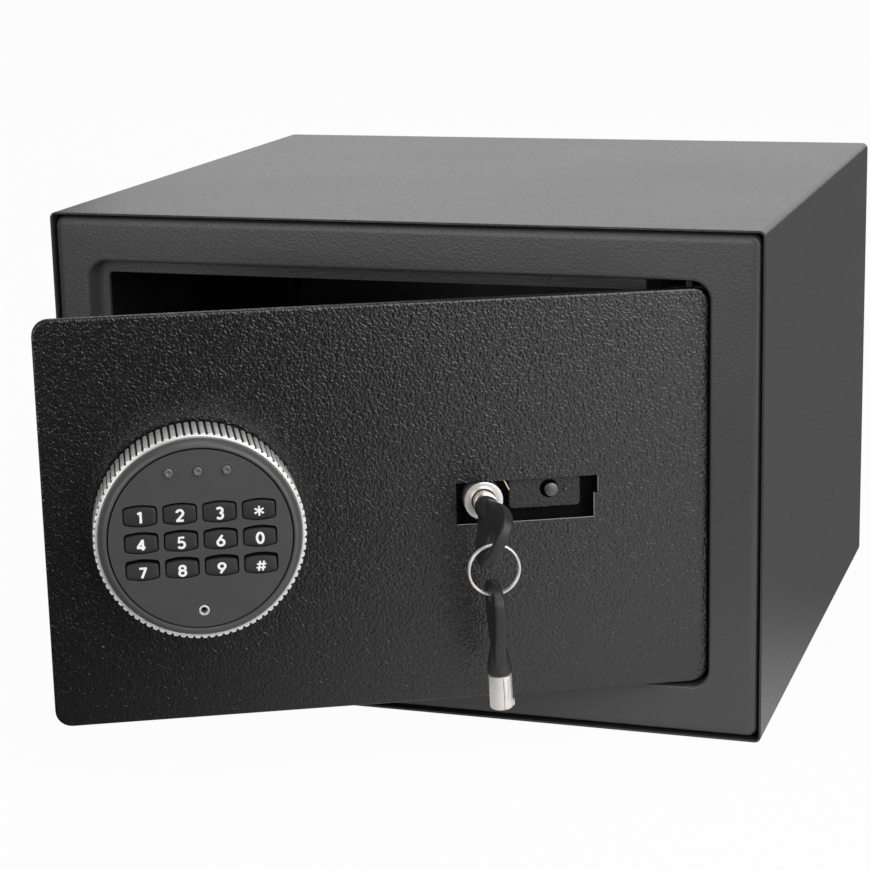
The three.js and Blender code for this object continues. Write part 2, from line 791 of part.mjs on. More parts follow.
function mechanismStrap() {
  const front = leafBack + seat;
  const strap = roundedRectangle(
    knobX - strapReach, strapStart, knobZ - strapHalfHeight, knobZ + strapHalfHeight, 5,
  );
  const riser = box(
    strapStart - strapWall, strapStart, front, strapFront + strapWall,
    knobZ - strapHalfHeight, knobZ + strapHalfHeight,
  );
  const foot = box(
    strapStart - strapWall, strapStart + strapFoot, front, front + strapWall,
    knobZ - strapHalfHeight, knobZ + strapHalfHeight,
  );
  const whole = join(slab(strap, strapFront, strapFront + strapWall, 2), riser, foot);
  return cut(whole, rodY(stemRadius + seat, knobX, knobZ, strapFront - 1, strapFront + strapWall + 1));
}

// The solenoid stands over the slide, and its plunger drops into a notch in the slide's top edge.
const slideTop = knobZ + slideHeight / 2;
const blockerX = knobX + blockerFromKnob;
const blockerY = (slideFront + slideBack) / 2;
const solenoidLow = slideTop + blockerStroke;
const blockerCollar = 3.4;

function solenoid() {
  const [x0, x1] = [blockerX - solenoidWidth / 2, blockerX + solenoidWidth / 2];
  const [low, high] = [solenoidLow, solenoidLow + solenoidHeight];
  const front = leafBack + seat;
  const frame = cut(
    box(x0, x1, front, front + solenoidDepth, low, high),
    box(x0 + 2, x1 - 2, front + 1.5, front + solenoidDepth + 1, low + 2, high - 2),
  );
  const coil = rodZ(solenoidDepth / 2 - 1.2, blockerX, blockerY, low + 1, high - 1);
  return cut(join(frame, coil), rodZ(blockerRadius + seat, blockerX, blockerY, low - 1, high + 1));
}

function blockerPin() {
  const tip = slideTop + seat;
  const collar = tip + blockerLength - 2;
  return join(
    rodZ(blockerRadius, blockerX, blockerY, tip, tip + blockerLength),
    rodZ(blockerCollar, blockerX, blockerY, collar, tip + blockerLength),
  );
}

piece(door, 'mechanism_strap', mechanismStrap(), 'zinc');
piece(door, 'solenoid', solenoid(), 'zinc');
piece(door, 'slide_plate', slidePlate(), 'zinc');
piece(door, 'bolt_lower', bolt(boltHeights[0]), 'chrome');
piece(door, 'bolt_upper', bolt(boltHeights[1]), 'chrome');
piece(door, 'blocker_pin', blockerPin(), 'zinc');

// Knob. Its profiles are drawn by how far they stand out of the door's face.
const out = (distance) => leafFront - distance;
const knobBack = collarThickness + knobGap;
const knurlFront = knobBack + knurlLength;
const bezelFront = knurlFront + bezelHeight;
const cupRadius = keypadRadius + knobGap;

function knobCollar() {
  const ring = new THREE.Shape();
  ring.absarc(knobX, knobZ, bezelRadius, 0, 2 * Math.PI);
  ring.holes.push(new THREE.Path().absarc(knobX, knobZ, spindleRadius + 2, 0, 2 * Math.PI));
  return slab(ring, out(collarThickness), out(seat), 18);
}

// The grip has straight teeth all round, flat on top and narrow at the root.
function knurledGrip() {
  const outline = new THREE.Shape();
  const pitch = 2 * Math.PI / knurlTeeth;
  const tooth = [[0, 0], [0.28, 1], [0.72, 1]];
  const points = [];
  for (let i = 0; i < knurlTeeth; i += 1) {
    for (const [share, rise] of tooth) {
      const angle = (i + share) * pitch;
      const radius = knurlRadius - knurlDepth * (1 - rise);
      points.push(new THREE.Vector2(knobX + radius * Math.cos(angle), knobZ + radius * Math.sin(angle)));
    }
  }
  outline.setFromPoints(points);
  const bore = cupRadius + knobWall + seat;
  outline.holes.push(new THREE.Path().absarc(knobX, knobZ, bore, 0, 2 * Math.PI));
  return slab(outline, out(knurlFront), out(knobBack), 24);
}

// Cup of the knob: a back disc, a wall inside the grip and a sloping bezel over the grip's front edge.
function knobShell() {
  const wall = cupRadius + knobWall;
  const hub = spindleRadius + seat;
  const profile = [
    [hub, out(knobBack)], [wall, out(knobBack)], [wall, out(knurlFront + seat)],
    [bezelRadius, out(knurlFront + seat)], [bezelRadius, out(knurlFront + seat + 0.5)],
    [cupRadius + 0.8, out(bezelFront)], [cupRadius, out(bezelFront - 0.4)],
    [cupRadius, out(knobBack + knobDisc)], [hub, out(knobBack + knobDisc)],
  ];
  return turned(profile, knobX, knobZ, 48);
}

// Hollow spindle that turns with the knob, with a crank disc and its pin behind the leaf.
function knobSpindle() {
  const bore = stemRadius + 2 * seat;
  const profile = [
    [bore, out(knobBack + knobDisc)], [spindleRadius, out(knobBack + knobDisc)], [spindleRadius, crankFront],
    [crankRadius, crankFront], [crankRadius, crankBack], [bore, crankBack],
  ];
  const angle = Math.PI / 4;
  const pin = rodY(
    crankPinRadius, knobX + crankThrow * Math.cos(angle), knobZ + crankThrow * Math.sin(angle),
    crankBack - 1, slideBack + 1,
  );
  return join(turned(profile, knobX, knobZ, 24), pin);
}

piece(door, 'knob_collar', knobCollar(), 'blackPlastic');
piece(door, 'knob_grip', knurledGrip(), 'chrome');
piece(door, 'knob_shell', knobShell(), 'knobLacquer');
piece(door, 'knob_spindle', knobSpindle(), 'zinc');

// Keypad: a cup on a hollow stem that runs back through the spindle, closed by a face with twelve keys
const faceFront = bezelFront - faceBelowBezel;
const faceBack = faceFront - faceThickness;
const cupBack = knobBack + knobDisc + 2 * seat;
const boardFront = faceBack - boardBelowFace;
const boardBack = boardFront - boardThickness;
const padZ = knobZ - padDrop;
const stemEnd = strapFront + strapWall + nutThickness + 3;

function keyOutline(grow, Outline = THREE.Shape) {
  const [w, h, r] = [keyWidth / 2 + grow, keyHeight / 2 + grow, keyCorner + grow];
  const arch = h + 2 * keyArch;
  const outline = new Outline();
  outline.moveTo(-w, -h + r);
  outline.lineTo(-w, h - r);
  outline.quadraticCurveTo(-w, h, -w + r, h);
  outline.quadraticCurveTo(0, arch, w - r, h);
  outline.quadraticCurveTo(w, h, w, h - r);
  outline.lineTo(w, -h + r);
  outline.quadraticCurveTo(w, -h, w - r, -h);
  outline.quadraticCurveTo(0, -arch, -w + r, -h);
  outline.quadraticCurveTo(-w, -h, -w, -h + r);
  return outline;
}

const keyNames = [
  ['key_1', 'key_2', 'key_3', 'key_star'],
  ['key_4', 'key_5', 'key_6', 'key_0'],
  ['key_7', 'key_8', 'key_9', 'key_hash'],
];

function keyPlace(row, column) {
  return [knobX + (column - 1.5) * keyPitchX, padZ + (1 - row) * keyPitchZ];
}

function keypadCup() {
  const profile = [
    [stemBore, stemEnd], [stemRadius, stemEnd], [stemRadius, out(cupBack)], [keypadRadius, out(cupBack)],
    [keypadRadius, out(faceBack - seat)], [keypadRadius - keypadWall, out(faceBack - seat)],
    [keypadRadius - keypadWall, out(cupBack + keypadWall)], [stemBore, out(cupBack + keypadWall)],
  ];
  const posts = [0, 1, 2].map((i) => {
    const angle = Math.PI / 2 + i * 2 * Math.PI / 3;
    const [x, z] = [Math.cos(angle), Math.sin(angle)].map((side) => side * keypadRadius * 0.75);
    return rodY(standoffRadius, knobX + x, knobZ + z, out(boardBack - seat), out(cupBack + 1), 8);
  });
  return join(turned(profile, knobX, knobZ, 30), ...posts);
}

function keypadFace() {
  const disc = new THREE.Shape();
  disc.absarc(knobX, knobZ, keypadRadius, 0, 2 * Math.PI);
  const face = slab(disc, out(faceFront), out(faceBack), 18);
  const openings = [];
  keyNames.forEach((names, row) => names.forEach((name, column) => {
    const [x, z] = keyPlace(row, column);
    openings.push(slab(keyOutline(keySlack), out(faceFront + 1), out(faceBack - 1), 2).translate([x, 0, z]));
  }));
  const lights = ledPlaces().map(([x, z]) => (
    rodY(ledRadius + seat, x, z, out(faceFront + 1), out(faceBack - 1), 12)
  ));
  const jack = rodY(jackRadius + seat, knobX, knobZ - jackDrop, out(faceFront + 1), out(faceBack - 1), 12);
  return cut(face, ...openings, ...lights, jack);
}

function keypadBoard() {
  return rodY(keypadRadius - keypadWall - 1, knobX, knobZ, out(boardFront), out(boardBack), 28);
}

function ledPlaces() {
  return [-1, 0, 1].map((side) => [knobX + side * ledSpacing, knobZ + ledRise]);
}

function led([x, z]) {
  const [base, top] = [out(boardFront + seat), out(faceFront + 0.3)];
  const profile = [
    [0, base], [ledRadius, base], [ledRadius, top + 0.9], [ledRadius * 0.7, top + 0.25], [0, top],
  ];
  return turned(profile, x, z, 12);
}

function powerJack() {
  const [base, top] = [out(boardFront + seat), out(faceFront + 0.2)];
  const profile = [
    [0, base], [jackRadius, base], [jackRadius, top], [jackBore, top],
    [jackBore, base - jackBore], [0, base - jackBore],
  ];
  return turned(profile, knobX, knobZ - jackDrop, 12);
}

// A key cap, rounded at its front edge, on a flange that stops it behind the face.
function keyCap(row, column) {
  const [x, z] = keyPlace(row, column);
  const top = faceFront + keyProud;
  const cap = roundedSlab(keyOutline(0), out(top), out(faceBack - seat - 1), keyRounding, 2, 1);
  const flange = slab(
    keyOutline(keyFlange), out(faceBack - seat), out(faceBack - seat - keyFlangeThickness), 1,
  );
  return join(cap, flange).translate([x, 0, z]);
}

function hexNut(x, z, y0, radius, bore) {
  return cut(rodY(radius, x, z, y0, y0 + nutThickness, 6), rodY(bore, x, z, y0 - 1, y0 + nutThickness + 1));
}

piece(door, 'keypad_housing', keypadCup(), 'blackPlastic');
piece(door, 'keypad_board', keypadBoard(), 'board');
piece(door, 'keypad_face', keypadFace(), 'keypadPlastic');
['led_left', 'led_middle', 'led_right'].forEach((name, i) => {
  piece(door, name, led(ledPlaces()[i]), 'ledLens');
});
piece(door, 'power_jack', powerJack(), 'chrome');
keyNames.forEach((names, row) => names.forEach((name, column) => {
  piece(door, name, keyCap(row, column), 'keyPlastic');
}));
const stemNutFront = strapFront + strapWall + seat;
piece(door, 'stem_nut', hexNut(knobX, knobZ, stemNutFront, stemNutRadius, stemRadius + seat), 'zinc');

// Control board on four standoffs, with its larger parts
function controlBoard() {
  const x0 = knobX + controlFromKnob;
  const x1 = x0 + controlWidth;
  const [z0, z1] = [lockZ + bracketRise + controlAboveBracket, boxTop - controlBelowBoxTop];
  const back = leafBack + seat;
  const front = back + standoffLength;
  const inset = standoffRadius + 1;
  const plate = box(x0, x1, front, front + boardThickness, z0, z1);
  const standoffs = [x0 + inset, x1 - inset].flatMap((x) => (
    [z0 + inset, z1 - inset].map((z) => rodY(standoffRadius, x, z, back, front + 1, 8))
  ));
  const surface = front + boardThickness - 0.2;
  const low = z0 + componentsRise;
  const chipX = x0 + chipFromSide;
  const connectorX = x0 + connectorFromSide;
  const chip = box(chipX, chipX + chipSide, surface, surface + chipHeight, low, low + chipSide);
  const buzzer = rodY(buzzerRadius, x0 + buzzerFromSide, low, surface, surface + buzzerHeight, 12);
  const connector = box(
    connectorX, connectorX + connectorLength, surface, surface + connectorHeight, low, low + connectorDepth,
  );
  return join(plate, ...standoffs, chip, buzzer, connector);
}

piece(door, 'control_board', controlBoard(), 'board');

// Override lock
const lockFace = leafFront + lockBelowFace;
const bracketBack = leafBack + bracketBehindLeaf + bracketWall;
const lockShoulder = bracketBack - bracketWall - seat;
const lockBack = lockFace + lockLength;
const plugBore = keyTubeOuter + lockSlack;

// One pressed bracket: a plate that holds the lock, feet up to the leaf and a raised pad behind the window.
function lockBracket() {
  const front = leafBack + seat;
  const [left, right] = [lockX - bracketLeft, lockX - bracketLeft + bracketWidth];
  const [low, high] = [lockZ - bracketDrop, lockZ + bracketRise];
  const plate = box(left, right, bracketBack - bracketWall, bracketBack, low, high);
  const feet = [[left, left + bracketWall], [right - bracketWall, right]].map(([x0, x1]) => (
    box(x0, x1, front, bracketBack, low, high)
  ));
  const padBox = roundedRectangle(lockX + padLeft, lockX + padRight, lockZ - padBottom, lockZ + padTop, 2);
  const pad = roundedSlab(padBox, front, bracketBack, bracketWall / 2, 2, 2);
  const hollow = box(
    lockX + padLeft + bracketWall, lockX + padRight - bracketWall, front + bracketWall, bracketBack + 1,
    lockZ - padBottom + bracketWall, lockZ + padTop - bracketWall,
  );
  const padHole = rodY(
    padHoleRadius, lockX + padHoleX, lockZ + padHoleRise, front - 1, front + bracketWall + 1,
  );
  const bridge = box(
    lockX + padLeft + 1, lockX + padRight - 1, bracketBack - bracketWall, bracketBack,
    lockZ + padHoleRise - clipStudRadius - 1, lockZ + padHoleRise + clipStudRadius + 1,
  );
  const stud = rodY(
    clipStudRadius, lockX + padHoleX + clipStudAside, lockZ + padHoleRise - clipStudDrop,
    front + 2 * seat, bracketBack,
  );
  const lockHole = rodY(
    lockThreadRadius + seat, lockX, lockZ, bracketBack - bracketWall - 1, bracketBack + 1,
  );
  return join(cut(join(plate, ...feet, pad), hollow, padHole, lockHole), bridge, stud);
}

function lockBody() {
  const profile = [
    [plugBore, lockFace + 1.4], [plugBore + 0.6, lockFace + 1.4], [lockRadius - 1.3, lockFace],
    [lockRadius - 0.4, lockFace], [lockRadius, lockFace + 0.4], [lockRadius, lockShoulder],
    [lockThreadRadius, lockShoulder], [lockThreadRadius, lockBack], [plugBore, lockBack],
  ];
  return turned(profile, lockX, lockZ, 24);
}

// The plug's post fills the tube of the key, and the cam is fast on its tail.
function lockPlug() {
  const step = lockFace + keyInserted + 2 * seat;
  const camFront = lockBack + seat;
  const profile = [
    [0, lockFace + 1], [plugPostRadius, lockFace + 1], [plugPostRadius, step],
    [keyTubeOuter, step], [keyTubeOuter, camFront + 1], [0, camFront + 1],
  ];
  const cam = roundedRectangle(
    lockX - camLength, lockX + camWidth, lockZ - camWidth / 2, lockZ + camWidth / 2, 3.8,
  );
  return join(turned(profile, lockX, lockZ), slab(cam, camFront, camFront + camThickness, 3));
}

piece(door, 'lock_bracket', lockBracket(), 'leafPaint');
piece(door, 'lock_body', lockBody(), 'chrome');
piece(door, 'lock_plug', lockPlug(), 'nickel');
const lockNut = hexNut(lockX, lockZ, bracketBack + seat, nutRadius, lockThreadRadius + seat);
piece(door, 'lock_nut', lockNut, 'zinc');

// Keys. A key is drawn along -y from the lock's face, with its bow upright.
const tubeStart = keyInserted;
const tubeEnd = keyInserted - keyTubeLength;
const bowStart = keyTubeLength - keyInserted + seat;
const bowEnd = bowStart + bowLength;
const holeMiddle = bowEnd - ringHoleRim - ringHoleLength / 2;
const coreRadius = 2.6;
const coreLength = 9;

function keyTube() {
  const profile = [
    [keyTubeInner, tubeStart], [keyTubeInner + 0.4, tubeStart], [keyTubeOuter, tubeStart - 0.9],
    [keyTubeOuter, tubeEnd], [coreRadius, tubeEnd], [coreRadius, tubeEnd - coreLength],
    [0, tubeEnd - coreLength], [0, tubeEnd + 1.5], [keyTubeInner, tubeEnd + 1.5],
  ];
  return turned(profile, 0, 0);
}

// Plastic bow: a flat head that widens from a tapered boss, with an oval hole for the ring.
function keyBow() {
  const narrow = bossEndRadius;
  const outline = new THREE.Shape();
  outline.moveTo(bowStart + 1, -narrow);
  outline.bezierCurveTo(
    bowStart + bowLength * 0.25, -narrow, bowStart + bowLength * 0.4, -bowHalfWidth,
    bowEnd - bowHalfWidth * 0.7, -bowHalfWidth,
  );
  outline.bezierCurveTo(
    bowEnd - bowHalfWidth * 0.2, -bowHalfWidth, bowEnd, -bowHalfWidth * 0.5, bowEnd, 0,
  );
  outline.bezierCurveTo(
    bowEnd, bowHalfWidth * 0.5, bowEnd - bowHalfWidth * 0.2, bowHalfWidth,
    bowEnd - bowHalfWidth * 0.7, bowHalfWidth,
  );
  outline.bezierCurveTo(
    bowStart + bowLength * 0.4, bowHalfWidth, bowStart + bowLength * 0.25, narrow, bowStart + 1, narrow,
  );
  outline.closePath();
  const hole = new THREE.Path();
  hole.absellipse(holeMiddle, 0, ringHoleLength / 2, ringHoleHalfWidth, 0, 2 * Math.PI);
  outline.holes.push(hole);
  const settings = {
    depth: bowThickness - 2 * bowEdge,
    bevelThickness: bowEdge,
    bevelSize: bowEdge,
    bevelOffset: -bowEdge,
    bevelSegments: 2,
    curveSegments: 4,
  };
  const head = new THREE.ExtrudeGeometry(outline, settings).translate(0, 0, bowEdge - bowThickness / 2);
  const along = new THREE.Matrix4().makeBasis(
    new THREE.Vector3(0, -1, 0), new THREE.Vector3(0, 0, 1), new THREE.Vector3(-1, 0, 0),
  );
  const boss = turned([
    [0, -bowStart], [bossRadius, -bowStart], [bossRadius, -bowStart - bossStraight],
    [bossEndRadius, -bowStart - bossLength + bossRounding],
    [bossEndRadius - bossRounding, -bowStart - bossLength], [0, -bowStart - bossLength],
  ], 0, 0);
  return join(solid(head.applyMatrix4(along)), boss);
}

function keySocket() {
  return join(
    rodY(coreRadius + seat, 0, 0, tubeEnd - coreLength - seat, 0),
    rodY(bossRadius + 1, 0, 0, -bowStart, 0),
  );
}

// The key stands turned in the lock, and its bow sits a little slack on the tube.
const atLock = new THREE.Matrix4().makeTranslation(lockX, lockFace, lockZ);
const slack = new THREE.Euler(THREE.MathUtils.degToRad(keySag), 0, THREE.MathUtils.degToRad(keyLean));
const bowSlack = new THREE.Matrix4().makeTranslation(0, -bowStart, 0)
  .multiply(new THREE.Matrix4().makeRotationFromEuler(slack))
  .multiply(new THREE.Matrix4().makeRotationY(THREE.MathUtils.degToRad(keyTurned)))
  .multiply(new THREE.Matrix4().makeTranslation(0, bowStart, 0));

function keyBowInLock() {
  return cut(keyBow().transform(bowSlack.elements), keySocket()).transform(atLock.elements);
}

// The ring hangs from the low edge of the bow's hole, and the spare key hangs from the ring.
const ringHook = new THREE.Vector3(0, -holeMiddle, -ringHoleHalfWidth)
  .applyMatrix4(bowSlack).applyMatrix4(atLock);
const ringTop = ringHook.z + ringWire + ringRise;
const ringCentre = new THREE.Vector3(ringHook.x + ringAside, ringHook.y, ringTop - ringRadius);
const ringLow = ringTop - 2 * ringRadius;
const spareDrop = bowEnd - ringHoleRim - ringWire - ringPlay;
const atRing = new THREE.Matrix4().makeTranslation(ringCentre.x, ringCentre.y, ringLow)
  .multiply(new THREE.Matrix4().makeRotationY(-THREE.MathUtils.degToRad(spareLean)))
  .multiply(new THREE.Matrix4().makeTranslation(0, 0, -spareDrop))
  .multiply(new THREE.Matrix4().makeRotationX(-Math.PI / 2));

// A split ring: round wire wound twice about the y axis.
function keyRing() {
  const [steps, sides] = [22 * ringTurns, 6];
  const positions = [];
  const index = [];
  for (let i = 0; i <= steps; i += 1) {
    const share = i / steps;
    const angle = 2 * Math.PI * ringTurns * share;
    const y = ringPitch * ringTurns * (share - 0.5);
    for (let j = 0; j < sides; j += 1) {
      const turn = 2 * Math.PI * j / sides;
      const radius = ringRadius + ringWire * Math.cos(turn);
      positions.push(radius * Math.cos(angle), y + ringWire * Math.sin(turn), radius * Math.sin(angle));
      if (i < steps) {
        const [a, b] = [i * sides + j, i * sides + (j + 1) % sides];
        index.push(a, b, a + sides, b, b + sides, a + sides);
      }
    }
  }
  for (let j = 1; j < sides - 1; j += 1) {
    const end = steps * sides;
    index.push(0, j + 1, j, end, end + j, end + j + 1);
  }
  const geometry = new THREE.BufferGeometry();
  geometry.setAttribute('position', new THREE.Float32BufferAttribute(positions, 3));
  geometry.setIndex(index);
  return solid(geometry).translate(ringCentre.toArray());
}

piece(door, 'key_tube', keyTube().transform(atLock.elements), 'nickel');
piece(door, 'key_bow', keyBowInLock(), 'blackPlastic');
piece(door, 'key_ring', keyRing(), 'nickel');
piece(door, 'spare_key_tube', keyTube().transform(atRing.elements), 'nickel');
piece(door, 'spare_key_bow', cut(keyBow(), keySocket()).transform(atRing.elements), 'blackPlastic');

export default new THREE.Group().add(cabinet, door);
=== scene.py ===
import json
import math

import bpy
from mathutils import Matrix, Vector


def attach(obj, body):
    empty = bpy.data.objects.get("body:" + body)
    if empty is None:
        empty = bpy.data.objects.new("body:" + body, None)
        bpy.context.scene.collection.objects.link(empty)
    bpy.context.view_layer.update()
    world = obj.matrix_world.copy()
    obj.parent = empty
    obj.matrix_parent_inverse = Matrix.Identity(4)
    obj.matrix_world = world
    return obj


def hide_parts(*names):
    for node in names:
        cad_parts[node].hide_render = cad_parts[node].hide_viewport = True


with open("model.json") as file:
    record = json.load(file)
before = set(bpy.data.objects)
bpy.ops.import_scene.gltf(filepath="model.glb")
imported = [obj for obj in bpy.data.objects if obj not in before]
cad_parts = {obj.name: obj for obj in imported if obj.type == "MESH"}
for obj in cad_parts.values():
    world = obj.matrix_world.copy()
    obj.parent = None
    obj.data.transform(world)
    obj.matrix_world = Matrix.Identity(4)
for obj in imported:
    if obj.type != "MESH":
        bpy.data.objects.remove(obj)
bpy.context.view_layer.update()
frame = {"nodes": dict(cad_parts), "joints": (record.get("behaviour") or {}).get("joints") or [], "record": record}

# Sizes in metres and angles in degrees, in the frame of the CAD.
MM = 0.001

camera_place = (358.8 * MM, -1187.8 * MM, 406.1 * MM)
camera_yaw = -18.28
camera_pitch = -13.858
camera_roll = -1.355
camera_lens = 98.06
sensor_width = 36


def about(axis, degrees):
    return Matrix.Rotation(math.radians(degrees), 4, axis)


def moved(x, y, z):
    """A move in millimetres."""
    return Matrix.Translation((x * MM, y * MM, z * MM))


# Places taken from the CAD: the door's own frame has x along the leaf, y inwards and z up.
hinge = next(j for j in frame["joints"] if j["name"] == "door_swing")
hinge_place = Vector((hinge["pos_m"][0], hinge["pos_m"][1], 0))
door_frame = Matrix.Translation(hinge_place) @ about("Z", -hinge["range_deg"][0])


def on_door(node):
    """The lowest and highest corner of a CAD node in the door's own frame."""
    back = door_frame.inverted()
    places = [back @ v.co for v in frame["nodes"][node].data.vertices]
    low = Vector(min(p[i] for p in places) for i in range(3))
    high = Vector(max(p[i] for p in places) for i in range(3))
    return low, high


leaf_front = on_door("door_leaf")[0].y


def out_of_leaf(node):
    """A frame on the leaf's face in line with a node, with its z axis out of the door."""
    low, high = on_door(node)
    spot = Vector(((low.x + high.x) / 2, leaf_front, (low.z + high.z) / 2))
    return door_frame @ Matrix.Translation(spot) @ about("X", 90)


# The camera comes before the pieces.
def camera_matrix():
    yaw, pitch, roll = (math.radians(a) for a in (camera_yaw, camera_pitch, camera_roll))
    level_ahead = Vector((math.sin(yaw), math.cos(yaw), 0))
    ahead = level_ahead * math.cos(pitch) + Vector((0, 0, math.sin(pitch)))
    level = Vector((math.cos(yaw), -math.sin(yaw), 0))
    upward = level.cross(ahead)
    right = level * math.cos(roll) + upward * math.sin(roll)
    up = upward * math.cos(roll) - level * math.sin(roll)
    facing = Matrix((right, up, -ahead)).transposed().to_4x4()
    return Matrix.Translation(camera_place) @ facing


def make_camera():
    data = bpy.data.cameras.new("camera")
    data.sensor_width = sensor_width
    data.lens = camera_lens
    data.clip_start = 0.01
    data.clip_end = 100
    made = bpy.data.objects.new("camera", data)
    bpy.context.scene.collection.objects.link(made)
    made.matrix_world = camera_matrix()
    bpy.context.scene.camera = made


make_camera()


# Shader sockets and materials.
class Wire:
    """A shader output that takes part in Python arithmetic by adding Math nodes."""

    def __init__(self, shader, output):
        self.shader = shader
        self.output = output

    def math(self, operation, *values, clamp=False):
        settings = {"operation": operation, "use_clamp": clamp}
        return self.shader.node("ShaderNodeMath", settings, dict(enumerate(values)))

    def __add__(self, other):
        return self.math("ADD", self, other)

    def __sub__(self, other):
        return self.math("SUBTRACT", self, other)

    def __rsub__(self, other):
        return self.math("SUBTRACT", other, self)

    def __mul__(self, other):
        return self.math("MULTIPLY", self, other)

    __radd__ = __add__
    __rmul__ = __mul__

    def clamped(self):
        return self.math("ADD", self, 0, clamp=True)

    def over(self, other):
        return self.math("MAXIMUM", self, other)


class Shader:
    """A material in the making. Every node comes from its one method."""

    def __init__(self, name):
        self.material = bpy.data.materials.new(name)
        self.material.use_nodes = True
        self.tree = self.material.node_tree
        self.surface = self.tree.nodes["Principled BSDF"]

    def node(self, kind, settings=None, inputs=None, output=0):
        made = self.tree.nodes.new(kind)
        for name, value in (settings or {}).items():
            setattr(made, name, value)
        for name, value in (inputs or {}).items():
            self.feed(made.inputs[name], value)
        return Wire(self, made.outputs[output])

    def feed(self, socket, value):
        if isinstance(value, Wire):
            self.tree.links.new(value.output, socket)
        else:
            socket.default_value = value

    def set(self, **values):
        for name, value in values.items():
            self.feed(self.surface.inputs[name.replace("_", " ")], value)

    def place(self):
        return self.node("ShaderNodeTexCoord", output="Object")

    def mapped(self, scale):
        return self.node("ShaderNodeMapping", None, {"Vector": self.place(), "Scale": scale})

    def noise(self, pitch, detail=2, roughness=0.5, distortion=0, vector=None):
        inputs = {
            "Vector": vector or self.place(),
            "Scale": 1 / pitch,
            "Detail": detail,
            "Roughness": roughness,
            "Distortion": distortion,
        }
        return self.node("ShaderNodeTexNoise", None, inputs)

    def cells(self, pitch, softness):
        inputs = {"Vector": self.place(), "Scale": 1 / pitch, "Smoothness": softness}
        return self.node("ShaderNodeTexVoronoi", {"feature": "SMOOTH_F1"}, inputs, "Distance")

    def vector(self, operation, *values, output=0):
        settings = {"operation": operation}
        return self.node("ShaderNodeVectorMath", settings, dict(enumerate(values)), output)

    def along(self, origin, direction):
        """How far the surface lies from an origin, measured in one direction."""
        offset = self.vector("SUBTRACT", self.place(), origin)
        return self.vector("DOT_PRODUCT", offset, direction, output="Value")

    def away(self, origin, axis):
        """How far the surface lies from an axis through an origin."""
        offset = self.vector("SUBTRACT", self.place(), origin)
        return self.vector("LENGTH", self.vector("CROSS_PRODUCT", offset, axis), output="Value")

    def step(self, value, low, high):
        inputs = {"Value": value, "From Min": low, "From Max": high}
        return self.node("ShaderNodeMapRange", {"interpolation_type": "SMOOTHSTEP"}, inputs)

    def mix(self, factor, first, second):
        inputs = {0: factor, 6: first, 7: second}
        return self.node("ShaderNodeMix", {"data_type": "RGBA"}, inputs, 2)

    def bump(self, height, distance):
        inputs = {"Height": height, "Distance": distance, "Strength": 1.0}
        self.set(Normal=self.node("ShaderNodeBump", None, inputs))


def grey(level, warmth=0.0):
    return (level * (1 + warmth), level, level * (1 - warmth), 1)


def shaded(colour, factor):
    return tuple(c * factor for c in colour[:3]) + (1,)


def paint(name, level, pitch, height, roughness, gloss=0.5):
    """Stoved powder paint: rounded waves run into each other, with patches a little duller."""
    s = Shader(name)
    waves = s.noise(pitch, 0, 0.5, 0.5)
    cloud = s.noise(90 * MM, 2)
    s.bump(waves, height)
    s.set(Base_Color=s.mix(cloud, grey(level * 0.85), grey(level * 1.15, -0.01)))
    s.set(Roughness=roughness + (waves - 0.5) * 0.1 + (cloud - 0.5) * 0.05)
    s.set(Specular_IOR_Level=gloss)
    return s.material


# Where the lock's bracket darkens with painted shade, measured inwards from its front.
painted_shade_from = 0.8 * MM
painted_shade_to = 3 * MM


def paint_with_painted_shade(name, level, pitch, height, roughness):
    """The lock's bracket: grained paint in front. Where it lies deeper, its colour is darkened to near black and
    dulled: painted shade, like the shade inside the window."""
    s = Shader(name)
    waves = s.noise(pitch, 0, 0.5, 0.5)
    inward = door_frame.to_3x3() @ Vector((0, 1, 0))
    face = hinge_place + inward * on_door("lock_bracket")[0].y
    painted_shade = s.step(s.along(face, inward), painted_shade_from, painted_shade_to)
    s.bump(waves * (1 - painted_shade), height)
    s.set(Base_Color=s.mix(painted_shade, grey(level), grey(0.002)))
    s.set(Roughness=roughness + (waves - 0.5) * 0.1 + painted_shade * 0.5, Specular_IOR_Level=0.2)
    return s.material


# The knurl keeps its bright colour outside this radius and beyond this height, each within half a millimetre.
# Inside and below them, its grooves carry painted shade.
unshaded_land_radius = (45.6 * MM, 46.1 * MM)
unshaded_land_front = (24.3 * MM, 24.8 * MM)


def knurl_with_painted_shade(name, colour, roughness):
    """Chrome whose grooves are darkened to near black as painted shade, by the distance from the knob's axis. The
    lands and the teeth's front ends keep the bright colour."""
    s = Shader(name)
    outward = door_frame.to_3x3() @ Vector((0, -1, 0))
    foot = out_of_leaf("knob_collar").translation
    unshaded_land = s.step(s.away(foot, outward), *unshaded_land_radius)
    front = s.step(s.along(foot, outward), *unshaded_land_front)
    smear = s.noise(5 * MM, 3, 0.6)
    s.set(Base_Color=s.mix(unshaded_land.over(front), shaded(colour, 0.02), colour), Metallic=0.3)
    s.set(Roughness=roughness + (smear - 0.5) * 0.2)
    return s.material


def metal(
    name, colour, roughness, scatter=0.05, pitch=0.6 * MM, stretch=(1, 1, 12), shine=1.0
):
    """Plated metal with a faint drawn or polished grain. Less shine is a milky plating."""
    s = Shader(name)
    grain = s.noise(pitch, 3, 0.6, 0, s.mapped(stretch))
    cloud = s.noise(6 * MM, 2)
    s.bump(grain, 0.0015 * MM)
    s.set(Base_Color=s.mix(cloud, shaded(colour, 0.86), colour), Metallic=shine)
    s.set(Roughness=roughness + (grain - 0.5) * scatter + (cloud - 0.5) * 0.06)
    return s.material


